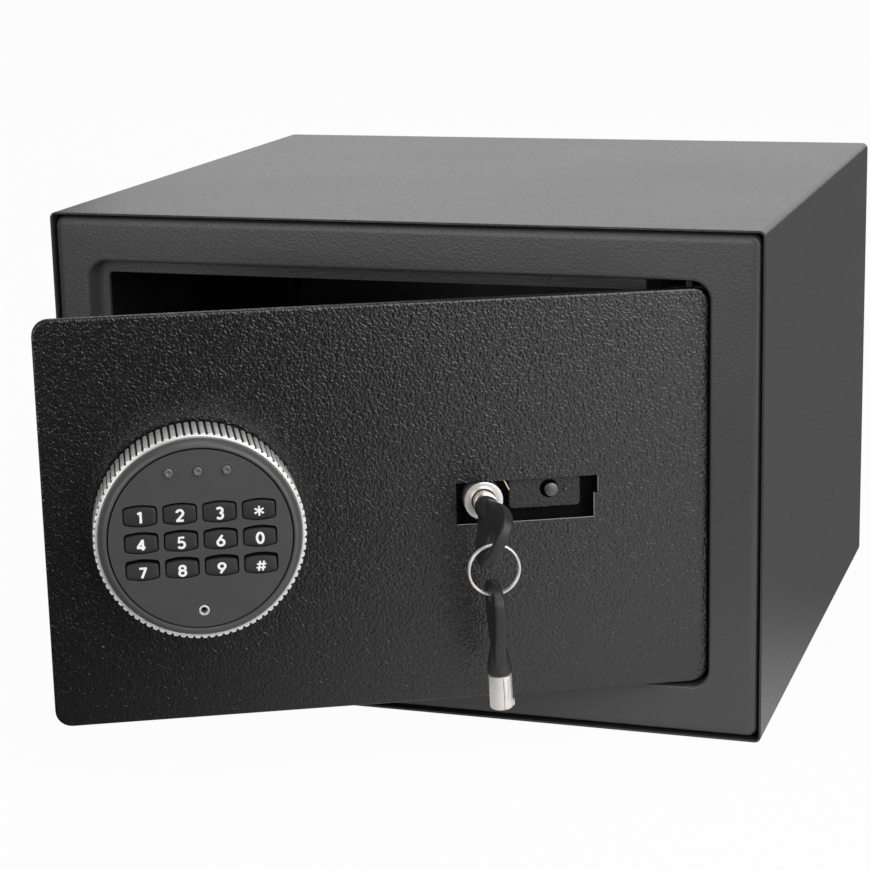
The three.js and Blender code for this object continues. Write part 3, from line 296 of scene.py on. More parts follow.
def plastic(name, colour, roughness, pitch=0.35 * MM, height=0.01 * MM, gloss=0.5):
    """Moulded plastic with a fine spark-eroded grain."""
    s = Shader(name)
    spark = s.noise(pitch, 3, 0.6)
    flow = s.noise(16 * MM, 2, 0.5, 0.4)
    s.bump(spark, height)
    s.set(Base_Color=s.mix(flow, shaded(colour, 0.88), colour))
    s.set(Roughness=roughness + (spark - 0.5) * 0.1 + (flow - 0.5) * 0.06)
    s.set(Specular_IOR_Level=gloss)
    return s.material


def felt(name, colour):
    """Needled felt: tangled fibres over soft lumps."""
    s = Shader(name)
    fibre = s.noise(1.1 * MM, 4, 0.7, 1.2)
    lump = s.noise(14 * MM, 2)
    s.bump(fibre + lump * 0.4, 0.4 * MM)
    s.set(Base_Color=s.mix(fibre, colour, shaded(colour, 1.8)), Roughness=0.95)
    return s.material


def solder_mask(name, mask, copper):
    """A circuit board: tracks show through the mask."""
    s = Shader(name)
    tracks = s.cells(4.5 * MM, 0.2)
    lane = s.step(tracks, 0.32, 0.36) - s.step(tracks, 0.44, 0.48)
    weave = s.noise(0.7 * MM, 2)
    s.bump(lane + weave * 0.2, 0.03 * MM)
    s.set(Base_Color=s.mix(lane, mask, copper), Roughness=0.3 + weave * 0.15)
    return s.material


def lens(name, colour):
    """Smoked clear moulding, glossy over a faint haze."""
    s = Shader(name)
    haze = s.noise(1.1 * MM, 2)
    s.bump(haze, 0.004 * MM)
    s.set(Base_Color=s.mix(haze, colour, shaded(colour, 1.5)), Roughness=0.14 + haze * 0.08)
    s.set(Coat_Weight=0.6)
    return s.material


finishes = {
    "cabinet_paint": paint("stoved_black", 0.036, 1.15 * MM, 0.09 * MM, 0.3),
    "door_paint": paint("stoved_leather_grain", 0.008, 1.15 * MM, 0.25 * MM, 0.21, gloss=0.8),
    "sheet_paint": paint("stoved_inside", 0.014, 1.4 * MM, 0.08 * MM, 0.4),
    "zinc_steel": metal("zinc_plate", (0.62, 0.63, 0.64, 1), 0.32, 0.14, 1.2 * MM),
    "chrome": metal("bright_chrome", (0.82, 0.82, 0.83, 1), 0.08),
    "nickel": metal("warm_nickel", (0.8, 0.75, 0.69, 1), 0.2, 0.08, 2 * MM),
    "knob_finish": plastic("bezel_satin", (0.09, 0.087, 0.09, 1), 0.34, 0.8 * MM, 0.004 * MM),
    "keypad_plastic": plastic("keypad_matt", (0.064, 0.061, 0.064, 1), 0.45),
    "key_plastic": plastic("key_cap_satin", (0.03, 0.0285, 0.03, 1), 0.42, gloss=0.28),
    "black_plastic": plastic("moulded_black", (0.012, 0.012, 0.0125, 1), 0.4, 0.6 * MM),
    "red_plastic": plastic("moulded_red", (0.45, 0.02, 0.015, 1), 0.3),
    "led_lens": lens("smoked_lens", (0.09, 0.09, 0.094, 1)),
    "circuit_board": solder_mask("solder_mask", (0.01, 0.07, 0.03, 1), (0.02, 0.14, 0.06, 1)),
    "cell_wrap": plastic("cell_sleeve", (0.03, 0.035, 0.05, 1), 0.25, 1.5 * MM),
    "floor_felt": felt("needled_felt", (0.01, 0.01, 0.011, 1)),
}

# Finishes of single pieces, where the slot's own doesn't look right.
# The front frame has the cabinet's paint made lighter: painted light on its front face.
frame_paint_painted_light = paint("stoved_frame_painted_light", 0.062, 1.15 * MM, 0.09 * MM, 0.3)
white_ink = plastic("white_ink", (0.92, 0.92, 0.92, 1), 0.45)
brass = metal("brass_wire", (0.95, 0.8, 0.45, 1), 0.3, shine=0.6)
rim_chrome = metal("rim_chrome", (0.97, 0.96, 0.94, 1), 0.24, shine=0.45)
# The knurl's dark grooves are painted shade.
knurl_chrome_painted_shade = knurl_with_painted_shade("knurled_chrome_painted_shade", (0.95, 0.94, 0.92, 1), 0.22)
# The board behind the keys is near black, so that the gaps round the caps show painted shade.
painted_shade_mask = solder_mask("painted_shade_mask", (0.004, 0.004, 0.004, 1), (0.01, 0.01, 0.01, 1))
bow_rubber = plastic("bow_rubber", (0.028, 0.028, 0.029, 1), 0.42, 0.9 * MM)
# A light grey for thin strips: a painted highlight on the window's cut edge.
painted_edge_highlight = plastic("painted_edge_highlight", (0.3, 0.3, 0.3, 1), 0.3, 0.6 * MM)
# The tube's seam colour, also used for the painted shade beside the tab.
solder_and_painted_shade = metal("solder_seam_and_painted_shade", (0.28, 0.2, 0.16, 1), 0.4)
bright_nickel = metal("bright_nickel", (0.97, 0.93, 0.9, 1), 0.22, 0.08, 3 * MM, shine=0.55)
# The bracket's paint carries painted shade where it lies deep in the lock's window.
bracket_paint_painted_shade = paint_with_painted_shade("stoved_bracket_painted_shade", 0.042, 1.15 * MM, 0.5 * MM, 0.26)
brushed = metal("brushed_stud", (0.16, 0.16, 0.16, 1), 0.4, 0.3, 0.5 * MM, (1, 1, 5))


def dress_nodes():
    """Gives each CAD node the finish of its slot in the record."""
    for made in frame["nodes"].values():
        for place in made.material_slots:
            place.material = finishes[place.material.name]


dress_nodes()
slot_of = {part["node"]: part["material_slot"] for part in frame["record"]["subparts"]}
body_of = {n: b for b, ns in frame["record"]["behaviour"]["bodies"].items() for n in ns}


# Modelling by operators. Everything is deselected first, because a new primitive is selected.
def deselect():
    if bpy.context.object and bpy.context.object.mode != "OBJECT":
        bpy.ops.object.mode_set(mode="OBJECT")
    bpy.ops.object.select_all(action="DESELECT")


def choose(made):
    deselect()
    made.select_set(True)
    bpy.context.view_layer.objects.active = made


def named(name):
    made = bpy.context.object
    made.name = name
    made.data.name = name
    return made


def settle(made, place=None):
    """Leaves the object at the origin, with its place in its mesh."""
    choose(made)
    made.matrix_world = (place or Matrix.Identity(4)) @ made.matrix_world
    bpy.ops.object.transform_apply(location=True, rotation=True, scale=True)
    return made


def smooth(made, angle=35):
    choose(made)
    bpy.ops.object.shade_smooth_by_angle(angle=math.radians(angle))
    return made


def normals_out(made):
    choose(made)
    bpy.ops.object.mode_set(mode="EDIT")
    bpy.ops.mesh.select_all(action="SELECT")
    bpy.ops.mesh.remove_doubles(threshold=0.001 * MM)
    bpy.ops.mesh.normals_make_consistent(inside=False)
    bpy.ops.object.mode_set(mode="OBJECT")
    return made


def modify(made, kind, **settings):
    choose(made)
    modifier = made.modifiers.new(kind.lower(), kind)
    for name, value in settings.items():
        setattr(modifier, name, value)
    bpy.ops.object.modifier_apply(modifier=modifier.name)
    return made


def finish_piece(made, body, slot=None, material=None, stands_for=()):
    """Gives a piece its finish and its body, and hides the CAD nodes that it stands for."""
    made.data.materials.clear()
    made.data.materials.append(material or finishes[slot])
    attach(made, body)
    if stands_for:
        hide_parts(*stands_for)
    return made


def stand_in(made, node, material=None):
    return finish_piece(made, body_of[node], slot_of[node], material, [node])


def copy_of(node, name):
    """A merged copy of a CAD node's mesh, with its flat faces whole again."""
    deselect()
    made = bpy.data.objects.new(name, frame["nodes"][node].data.copy())
    bpy.context.scene.collection.objects.link(made)
    choose(made)
    bpy.ops.object.mode_set(mode="EDIT")
    bpy.ops.mesh.select_all(action="SELECT")
    bpy.ops.mesh.remove_doubles(threshold=0.001 * MM)
    bpy.ops.mesh.dissolve_limited(angle_limit=math.radians(0.5))
    bpy.ops.object.mode_set(mode="OBJECT")
    bpy.ops.mesh.customdata_custom_splitnormals_clear()
    return made


def bevelled(made, width, limit, **settings):
    return modify(
        made, "BEVEL", width=width, segments=2, limit_method="ANGLE",
        angle_limit=math.radians(limit), use_clamp_overlap=True, **settings,
    )


def flat_shaded(made):
    """Keeps flat faces flat between their rounded edges."""
    return modify(smooth(made, 40), "WEIGHTED_NORMAL", keep_sharp=True, weight=100)


def edged(node, width, material):
    """A CAD node with its sharp edges broken, as folded, cut and moulded edges are."""
    made = bevelled(copy_of(node, node + "_edged"), width, 40, miter_outer="MITER_ARC")
    return stand_in(flat_shaded(made), node, material)


def turned(name, profile, place, sides=96):
    """A body of revolution: a circle is extruded and resized from ring to ring of the profile,
    whose points are (radius, height). One that starts on the axis is closed by a fill."""
    solid = profile[0][0] == 0
    rings = [p for p in profile if p[0] > 0]
    radius, height = rings[0]
    deselect()
    bpy.ops.mesh.primitive_circle_add(
        vertices=sides, radius=radius, location=(0, 0, height),
        fill_type="NGON" if solid else "NOTHING",
    )
    made = named(name)
    bpy.ops.object.transform_apply(location=True, rotation=True, scale=True)
    bpy.ops.object.mode_set(mode="EDIT")
    bpy.ops.mesh.select_all(action="SELECT")
    steps = rings[1:] if solid else rings[1:] + rings[:1]
    for next_radius, next_height in steps:
        bpy.ops.mesh.extrude_region_move(
            TRANSFORM_OT_translate={"value": (0, 0, next_height - height)}
        )
        grow = next_radius / radius
        bpy.ops.transform.resize(value=(grow, grow, 1), center_override=(0, 0, next_height))
        radius, height = next_radius, next_height
    bpy.ops.object.mode_set(mode="OBJECT")
    normals_out(made)
    return settle(made, place)


def joined(name, pieces):
    deselect()
    for made in pieces:
        made.select_set(True)
    bpy.context.view_layer.objects.active = pieces[0]
    bpy.ops.object.join()
    return named(name)


# Sheet metal and mouldings whose CAD shape is right, with the widths of their broken edges.
edge_widths = {
    "body_shell": 0.35, "back_panel": 0.35, "front_frame": 0.35, "door_leaf": 0.3,
    "door_box": 0.4, "door_back_cover": 0.35, "battery_lid": 0.4, "keypad_board": 0.2,
    "lock_bracket": 0.25,
}
own_finish = {
    "front_frame": frame_paint_painted_light, "keypad_board": painted_shade_mask, "lock_bracket": bracket_paint_painted_shade,
}


def sheet_metal():
    for node, width in edge_widths.items():
        edged(node, width * MM, own_finish.get(node))


# The knob. Heights are measured out of the leaf's face, along the knob's axis.
knob_axis = out_of_leaf("knob_collar")
bezel_profile = [
    (44.3, 25.35), (44.3, 25.75), (44.1, 26.3), (43.7, 27.1), (43.1, 28.0), (42.5, 28.7),
    (41.9, 29.1), (41.35, 29.25), (40.9, 29.2), (40.62, 28.95), (40.5, 28.5), (40.5, 6.4),
    (9.3, 6.4), (9.3, 3.4), (42.3, 3.4), (42.3, 25.35),
]
rim_profile = [
    (44.35, 24.2), (45.5, 24.2), (45.55, 24.7), (45.4, 25.05), (45.1, 25.25), (44.7, 25.3),
    (44.45, 25.2), (44.35, 25.0),
]
collar_profile = [(11, 0.3), (44.0, 0.3), (44.6, 0.8), (44.6, 2.6), (44.2, 3.0), (11, 3.0)]


def in_mm(profile):
    return [(radius * MM, height * MM) for radius, height in profile]


def knob():
    shell = turned("knob_bezel", in_mm(bezel_profile), knob_axis, 128)
    stand_in(smooth(shell), "knob_shell")
    collar = turned("knob_foot", in_mm(collar_profile), knob_axis, 96)
    stand_in(smooth(collar), "knob_collar")
    grip = copy_of("knob_grip", "knurling")
    stand_in(smooth(bevelled(grip, 0.16 * MM, 25)), "knob_grip", knurl_chrome_painted_shade)
    rim = turned("grip_rim", in_mm(rim_profile), knob_axis, 180)
    finish_piece(smooth(rim, 50), "knob", material=rim_chrome)


# Key caps: one is crowned in steps, and the others are its copies. Each row is tipped and
# shortened more than the one above it, and its signs sit lower on the caps.
key_rows = (
    ("key_1", "key_2", "key_3", "key_star"),
    ("key_4", "key_5", "key_6", "key_0"),
    ("key_7", "key_8", "key_9", "key_hash"),
)
cap_tilt = (5, 8, 11)
cap_gap = (0.45, 0.85, 1.3)
sign_drop = (0.6, 0.6, 1.0)
cap_tips_about = -4.3
cap_full_height = 9.3

# A key cap's outline has arched long sides. Its front is rounded and pillowed, in steps of how
# far it comes in from the outline and how high it is. Its foot hides behind the keypad's face.
face_front = 28.8
cap_foot = 24.5
cap_half = (7.15, 4.0)
cap_corner = 1.8
cap_arch = 5.3
cap_slack = 0.32
cap_steps = [
    (0, 27.9), (0.05, 28.3), (0.2, 28.6), (0.5, 28.82), (1.0, 28.95), (1.7, 29.02), (2.5, 29.05),
]


def quarter(first, control, last, steps=8):
    """Points on a quadratic curve, without its last one."""
    points = []
    for i in range(steps):
        t = i / steps
        a, b, c = (1 - t) ** 2, 2 * t * (1 - t), t * t
        points.append(tuple(a * p + b * q + c * r for p, q, r in zip(first, control, last)))
    return points


def cap_outline(grow=0):
    w, h = (half + grow for half in cap_half)
    r = cap_corner + grow
    arch = cap_arch + grow
    upper = quarter((w, h - r), (w, h), (w - r, h))
    upper += quarter((w - r, h), (0, arch), (-w + r, h), 16)
    upper += quarter((-w + r, h), (-w, h), (-w, h - r))
    return upper + [(-x, -z) for x, z in upper]


def flat_outline(name, points, height):
    """One face with the given outline, selected in edit mode and ready to be extruded."""
    data = bpy.data.meshes.new(name)
    data.from_pydata([(x * MM, z * MM, height * MM) for x, z in points], [], [range(len(points))])
    made = bpy.data.objects.new(name, data)
    bpy.context.scene.collection.objects.link(made)
    choose(made)
    bpy.ops.object.mode_set(mode="EDIT")
    bpy.ops.mesh.select_all(action="SELECT")
    return made


def crowned_cap():
    made = flat_outline("key_cap", cap_outline(), cap_foot)
    inset, height = 0, cap_foot
    for next_inset, next_height in cap_steps:
        bpy.ops.mesh.extrude_region_move(
            TRANSFORM_OT_translate={"value": (0, 0, (next_height - height) * MM)}
        )
        grow = [(half - next_inset) / (half - inset) for half in cap_half]
        bpy.ops.transform.resize(value=(*grow, 1), center_override=(0, 0, next_height * MM))
        inset, height = next_inset, next_height
    bpy.ops.object.mode_set(mode="OBJECT")
    return smooth(normals_out(made), 50)


def copied(made, name, place):
    choose(made)
    bpy.ops.object.duplicate()
    return settle(named(name), place)


def tipped(row):
    """A cap tips in at its upper edge, about its lower edge, which stays level with the face."""
    edge = moved(0, cap_tips_about, face_front)
    back = moved(0, -cap_tips_about, -face_front)
    short = Matrix.Diagonal((1, 1 - cap_gap[row] / cap_full_height, 1, 1))
    return edge @ about("X", -cap_tilt[row]) @ short @ back


def key_caps():
    cap = crowned_cap()
    for row, nodes in enumerate(key_rows):
        for node in nodes:
            stand_in(copied(cap, node + "_cap", out_of_leaf(node) @ tipped(row)), node)
    bpy.data.objects.remove(cap)


def raised(name, points, low, high, place):
    """A prism on an outline, from one height to the other."""
    made = flat_outline(name, points, low)
    bpy.ops.mesh.extrude_region_move(TRANSFORM_OT_translate={"value": (0, 0, (high - low) * MM)})
    bpy.ops.object.mode_set(mode="OBJECT")
    return settle(normals_out(made), place)


def cut_by(made, cutter):
    modify(made, "BOOLEAN", object=cutter, operation="DIFFERENCE", solver="EXACT")
    bpy.data.objects.remove(cutter)
    return made


# The cutters for the face's openings reach from behind it to in front of it.
cut_from = 25
cut_to = 30


def keypad_face():
    """The face is a disc. The keys, lights and socket are then cut through it."""
    plate = in_mm([(0, 26), (39.9, 26), (39.9, face_front), (0, face_front)])
    disc = turned("keypad_front", plate, knob_axis, 128)
    cutters = [
        raised("cutter", cap_outline(cap_slack), cut_from, cut_to, out_of_leaf(node))
        for nodes in key_rows for node in nodes
    ]
    round_hole = in_mm([(0, cut_from), (2.5, cut_from), (2.5, cut_to), (0, cut_to)])
    for node in ("led_left", "led_middle", "led_right", "power_jack"):
        cutters.append(turned("cutter", round_hole, out_of_leaf(node), 48))
    cut_by(disc, joined("cutters", cutters))
    stand_in(flat_shaded(bevelled(disc, 0.16 * MM, 40)), "keypad_face")


# Signs on the key caps, drawn as strokes in a box one unit high.
def arc(x, z, radius, first, last, wide=1.0, steps=18):
    angles = [math.radians(first + (last - first) * i / steps) for i in range(steps + 1)]
    return [(x + radius * wide * math.cos(a), z + radius * math.sin(a)) for a in angles]


six = [arc(0, 0.29, 0.29, 0, 360), [(-0.26, 0.41), (0.16, 1)]]
signs = {
    "key_1": [[(-0.2, 0.84), (0.08, 1)], [(0.06, 1.04), (0.06, 0)]],
    "key_2": [arc(0, 0.72, 0.28, 170, -38) + [(-0.26, 0.02)], [(-0.34, 0.02), (0.32, 0.02)]],
    "key_3": [arc(0, 0.745, 0.255, 150, -90), arc(0, 0.27, 0.27, 90, -150)],
    "key_4": [
        [(0.12, 0), (0.12, 1.04)], [(0.12, 0.98), (-0.34, 0.26)], [(-0.4, 0.26), (0.34, 0.26)],
    ],
    "key_5": [[(0.28, 1), (-0.16, 1), (-0.22, 0.56)] + arc(0, 0.3, 0.3, 120, -150)],
    "key_6": six,
    "key_7": [[(-0.3, 0.98), (0.36, 0.98)], [(0.28, 1), (-0.1, 0)]],
    "key_8": [arc(0, 0.745, 0.25, 0, 360), arc(0, 0.27, 0.28, 0, 360)],
    "key_9": [[(-x, 1 - z) for x, z in stroke] for stroke in six],
    "key_0": [arc(0, 0.5, 0.5, 0, 360, 0.56)],
    "key_star": [
        [(side * 0.46 * math.cos(a), 0.5 + side * 0.46 * math.sin(a)) for side in (1, -1)]
        for a in (math.radians(30), math.radians(90), math.radians(150))
    ],
    "key_hash": [
        [(-0.24, 0), (-0.08, 1)], [(0.1, 0), (0.26, 1)],
        [(-0.44, 0.32), (0.38, 0.32)], [(-0.38, 0.68), (0.44, 0.68)],
    ],
}
sign_height = 4.95 * MM
sign_stroke = 0.56 * MM
thin_stroke = 0.42 * MM
thin_signs = ("key_star", "key_hash")
sign_level = 29.05
sign_flatness = 0.1


def wire(name, points, radius, closed=False, sides=4):
    """A round wire along points, with closed ends."""
    deselect()
    data = bpy.data.curves.new(name, "CURVE")
    data.dimensions = "3D"
    data.bevel_depth = radius
    data.bevel_resolution = sides
    data.use_fill_caps = not closed
    line = data.splines.new("POLY")
    line.points.add(len(points) - 1)
    for spot, point in zip(line.points, points):
        spot.co = (*point, 1)
    line.use_cyclic_u = closed
    made = bpy.data.objects.new(name, data)
    bpy.context.scene.collection.objects.link(made)
    choose(made)
    bpy.ops.object.convert(target="MESH")
    return normals_out(named(name))


def key_sign(node, row):
    thickness = thin_stroke if node in thin_signs else sign_stroke
    drawn = []
    for stroke in signs[node]:
        ring = math.dist(stroke[0], stroke[-1]) < 0.001
        path = stroke[:-1] if ring else stroke
        points = [(x * sign_height, (z - 0.5) * sign_height, 0) for x, z in path]
        drawn.append(wire(node + "_stroke", points, thickness, ring, 2))
    made = joined(node + "_sign", drawn)
    flat = moved(0, -sign_drop[row], sign_level) @ Matrix.Diagonal((1, 1, sign_flatness, 1))
    settle(made, out_of_leaf(node) @ tipped(row) @ flat)
    finish_piece(smooth(made, 60), body_of[node], material=white_ink)


def key_signs():
    for row, nodes in enumerate(key_rows):
        for node in nodes:
            key_sign(node, row)


# Lights and the socket for outside power, in the keypad's face.
dome_profile = [
    (0, 22.1), (2.2, 22.1), (2.2, 28.9), (2.12, 29.4), (1.9, 29.8), (1.55, 30.05), (1.15, 30.1),
    (0.95, 29.95), (0.8, 29.8), (0.5, 29.75), (0.2, 29.75), (0, 29.75),
]
dome_ring_profile = [
    (2.28, 28.5), (2.28, 28.9), (2.45, 29.0), (2.8, 29.0), (2.95, 28.9), (2.95, 28.82),
    (2.48, 28.82), (2.48, 28.5),
]
power_barrel_profile = [
    (2.35, 22.1), (2.35, 28.85), (2.2, 29.1), (1.9, 29.15), (1.6, 29.05), (1.5, 28.6), (1.5, 22.1),
]
power_insulator_profile = [
    (0, 22.1), (1.45, 22.1), (1.45, 26.4), (1.2, 26.5), (0.5, 26), (0.5, 24), (0, 24),
]


def face_fittings():
    for node in ("led_left", "led_middle", "led_right"):
        spot = out_of_leaf(node)
        dome = turned(node + "_dome", in_mm(dome_profile), spot, 32)
        stand_in(smooth(dome, 50), node)
        ring = turned(node + "_ring", in_mm(dome_ring_profile), spot, 32)
        finish_piece(smooth(ring, 50), "door", "keypad_plastic")
    spot = out_of_leaf("power_jack")
    barrel = turned("power_barrel", in_mm(power_barrel_profile), spot, 32)
    stand_in(smooth(barrel, 50), "power_jack", rim_chrome)
    insulator = turned("power_insulator", in_mm(power_insulator_profile), spot, 24)
    finish_piece(smooth(insulator, 50), "door", "black_plastic")


# The override lock and its keys, in the door's own frame.
lock_axis = out_of_leaf("lock_body")
key_origin = moved(-96.5, -6, 120)
bow_start = 3.9
locked_bow_start = 6.1
spare_tube_end = 3.6
locked_tube_end = 6.0
tube_trim_radius = 5.2
bow_half_core = 1.3
bow_rounding = 1.2
bow_length = 43
bow_half_width = 13.5
bow_narrow = 4.6
ring_hole_half_length = 4
ring_hole_half_width = 5
ring_hole_rim = 4
key_turned = 25
key_sag = 13.3
key_lean = -2.3
spare_lean = 2.6

# A curve's handle that makes a quarter of an ellipse, as a share of its half axis.
round_handle = 0.5523


def flat_head():
    """The bow's head from the CAD's own curves, with its edges rounded and its hole open."""
    start, end = bow_start + 1, bow_start + bow_length
    narrow, wide = bow_narrow, bow_half_width
    hole = end - ring_hole_rim - ring_hole_half_length
    shoulder = end - wide * 0.7
    outline = [
        ((start, -narrow), (start, 0), (bow_start + bow_length * 0.25, -narrow)),
        ((shoulder, -wide), (bow_start + bow_length * 0.4, -wide), (end - wide * 0.2, -wide)),
        ((end, 0), (end, -wide * 0.5), (end, wide * 0.5)),
        ((shoulder, wide), (end - wide * 0.2, wide), (bow_start + bow_length * 0.4, wide)),
        ((start, narrow), (bow_start + bow_length * 0.25, narrow), (start, 0)),
    ]
    a, b = ring_hole_half_length, ring_hole_half_width
    k = round_handle
    opening = [
        ((hole - a, 0), (hole - a, -b * k), (hole - a, b * k)),
        ((hole, b), (hole - a * k, b), (hole + a * k, b)),
        ((hole + a, 0), (hole + a, b * k), (hole + a, -b * k)),
        ((hole, -b), (hole + a * k, -b), (hole - a * k, -b)),
    ]
    deselect()
    data = bpy.data.curves.new("bow_head", "CURVE")
    data.dimensions = "2D"
    data.fill_mode = "BOTH"
    data.resolution_u = 14
    data.extrude = bow_half_core * MM
    data.bevel_depth = bow_rounding * MM
    data.bevel_resolution = 4
    data.offset = -bow_rounding * MM
    for loop in (outline, opening):
        line = data.splines.new("BEZIER")
        line.bezier_points.add(len(loop) - 1)
        line.use_cyclic_u = True
        for point, (place, before, after) in zip(line.bezier_points, loop):
            point.handle_left_type = point.handle_right_type = "FREE"
            point.co = (place[0] * MM, place[1] * MM, 0)
            point.handle_left = (before[0] * MM, before[1] * MM, 0)
            point.handle_right = (after[0] * MM, after[1] * MM, 0)
    made = bpy.data.objects.new("bow_head", data)
    bpy.context.scene.collection.objects.link(made)
    choose(made)
    bpy.ops.object.convert(target="MESH")
    return normals_out(named("bow_head"))


def key_bow(start):
    """A moulded bow along its own x axis: the head grows out of a tapered boss."""
    head = flat_head()
    profile = [
        (0, start), (4.9, start), (5.25, start + 0.35), (5.4, start + 0.9), (5.35, start + 2.6),
        (5.15, 9.3), (4.75, 11.5), (4.25, 14), (3.6, 16.5), (2.9, 18.5), (2.2, 20), (0, 20.8),
    ]
    boss = turned("bow_boss", in_mm(profile), about("Y", 90), 64)
    made = joined("bow", [head, boss])
    modify(made, "REMESH", mode="VOXEL", voxel_size=0.25 * MM)
    modify(made, "SMOOTH", factor=0.5, iterations=12)
    choose(made)
    bpy.ops.object.shade_smooth()
    return made


# A key's own axes in the door's frame: its length runs out of the lock and its bow is upright.
along_key = Matrix(((0, 0, -1), (-1, 0, 0), (0, 1, 0))).to_4x4()


def slack_on_tube():
    """The bow of the key in the lock hangs a little, about the place where it holds the tube."""
    grip = moved(0, -bow_start, 0)
    hang = about("X", key_sag) @ about("Z", key_lean) @ about("Y", key_turned)
    return grip @ hang @ grip.inverted()


ring_low, ring_high = on_door("key_ring")
ring_middle = (ring_low + ring_high) / 2
ring_wire = 0.6
spare_drop = bow_start + bow_length - ring_hole_rim - ring_wire - 1.3
at_ring = (
    Matrix.Translation((ring_middle.x, ring_middle.y, ring_low.z + ring_wire * MM))
    @ about("Y", -spare_lean) @ moved(0, 0, -spare_drop) @ about("X", -90)
)


def key_tube(name, end):
    """A tube open at one end, with a core at the other that the bow is moulded on."""
    profile = [
        (4.05, 12), (4.45, 12), (5.0, 11.55), (5.2, 11.2), (5.25, 10.8), (5.25, 0.1 - end),
        (5.1, -end), (2.6, -end), (2.6, -12.6), (0.6, -12.6), (0.6, -2.1), (4.05, -2.1),
    ]
    return smooth(turned(name, in_mm(profile), about("X", -90), 64))


def tube_trim(name, size, angle, middle, place, material):
    """A small pressed piece, seam or strip of painted shade on the tube, at an angle round it and a height along
    it.
    """
    deselect()
    bpy.ops.mesh.primitive_cube_add(size=1)
    made = named(name)
    bpy.ops.object.mode_set(mode="EDIT")
    bpy.ops.mesh.select_all(action="SELECT")
    bpy.ops.transform.resize(value=[edge * MM for edge in size], center_override=(0, 0, 0))
    bpy.ops.mesh.bevel(offset=0.09 * MM, segments=2)
    bpy.ops.object.mode_set(mode="OBJECT")
    settle(made, place @ about("Y", -angle) @ moved(0, middle, -tube_trim_radius))
    return finish_piece(smooth(made, 40), "spare_key", material=material)


def keys():
    in_lock = door_frame @ key_origin @ slack_on_tube() @ along_key
    spare = door_frame @ at_ring
    stand_in(settle(key_bow(locked_bow_start), in_lock), "key_bow", bow_rubber)
    stand_in(settle(key_bow(bow_start), spare @ along_key), "spare_key_bow", bow_rubber)
    locked_tube = settle(key_tube("key_barrel", locked_tube_end), door_frame @ key_origin)
    stand_in(locked_tube, "key_tube")
    spare_tube = settle(key_tube("spare_barrel", spare_tube_end), spare)
    stand_in(spare_tube, "spare_key_tube", bright_nickel)
    tube_trim("spare_tab", (1.8, 9.4, 0.5), 19, 2.6, spare, bright_nickel)
    tube_trim("spare_seam", (0.22, 15.2, 0.3), 6, 4.2, spare, solder_and_painted_shade)
    # A thin dark strip beside the tab is painted shade.
    tube_trim("spare_tab_painted_shade", (0.2, 9.4, 0.42), 30, 2.6, spare, solder_and_painted_shade)
    tube_trim("spare_lug", (1.6, 2.6, 1.4), 74, 9.6, spare, bright_nickel)


def split_ring():
    """The ring's ends lie behind the bow of the key in the lock."""
    turns, pitch, radius, ring_start = 2, 1.3, 11.3, 77
    steps = 72 * turns
    points = []
    for i in range(steps + 1):
        angle = math.radians(ring_start) + 2 * math.pi * turns * i / steps
        across = pitch * turns * (i / steps - 0.5)
        points.append((radius * MM * math.cos(angle), across * MM, radius * MM * math.sin(angle)))
    made = wire("ring_wire", points, ring_wire * MM)
    settle(made, door_frame @ Matrix.Translation(ring_middle))
    stand_in(smooth(made, 60), "key_ring", bright_nickel)


def lock():
    profile = [
        (5.55, -1.7), (5.6, -1.3), (5.8, -1.08), (6.1, -1.0), (8.4, -1.0), (8.7, -1.1),
        (8.9, -1.4), (8.9, -16.2), (8, -16.2), (8, -25), (5.55, -25),
    ]
    body = turned("lock_barrel", in_mm(profile), lock_axis, 96)
    stand_in(smooth(body, 30), "lock_body", bright_nickel)


# What shows in the window beside the lock: the end of a stud, a dimple and a clip wire. Thin light strips along
# the window's sill and its right side are a painted highlight on its cut edge.
stud_profile = [(0, -0.5), (3.1, -0.5), (3.2, -0.3), (3.1, 0), (2.6, 0.25), (0, 0.5)]
stud_place = (-64.95, -3.65, 122.75)
dimple_profile = [(0, 0), (0.9, 0), (0.85, 0.25), (0.6, 0.5), (0.3, 0.6), (0, 0.62)]
dimple_place = (-58.3, -3.75, 122.85)
clip_path = [(-88.2, -2.6, 131.6), (-86.6, -3.5, 128.3), (-85.2, -3.9, 125.4), (-84.5, -3.8, 124)]
window_front = -6.7
window_edge_highlights = {
    "window_sill_highlight": [(-109.1, 109.68), (-45.7, 109.68)],
    "window_side_highlight": [(-45.85, 109.9), (-45.85, 121.2)],
    "window_notch_highlight": [(-43.95, 121.6), (-43.95, 129.1)],
}


def in_window(place):
    return door_frame @ moved(*place) @ about("X", 90)


def window_wire(name, points, radius, material):
    made = wire(name, [Vector(p) * MM for p in points], radius, sides=3)
    finish_piece(settle(smooth(made, 60), door_frame), "door", material=material)


def window_fittings():
    stud = turned("clip_stud", in_mm(stud_profile), in_window(stud_place), 40)
    finish_piece(smooth(stud, 30), "door", material=brushed)
    dimple = turned("pad_dimple", in_mm(dimple_profile), in_window(dimple_place), 24)
    finish_piece(smooth(dimple, 50), "door", material=brushed)
    window_wire("clip_wire", clip_path, 0.36 * MM, brass)
    # Thin strips of painted highlight along the window's cut edge.
    for name, path in window_edge_highlights.items():
        window_wire(name, [(x, window_front, z) for x, z in path], 0.22 * MM, painted_edge_highlight)


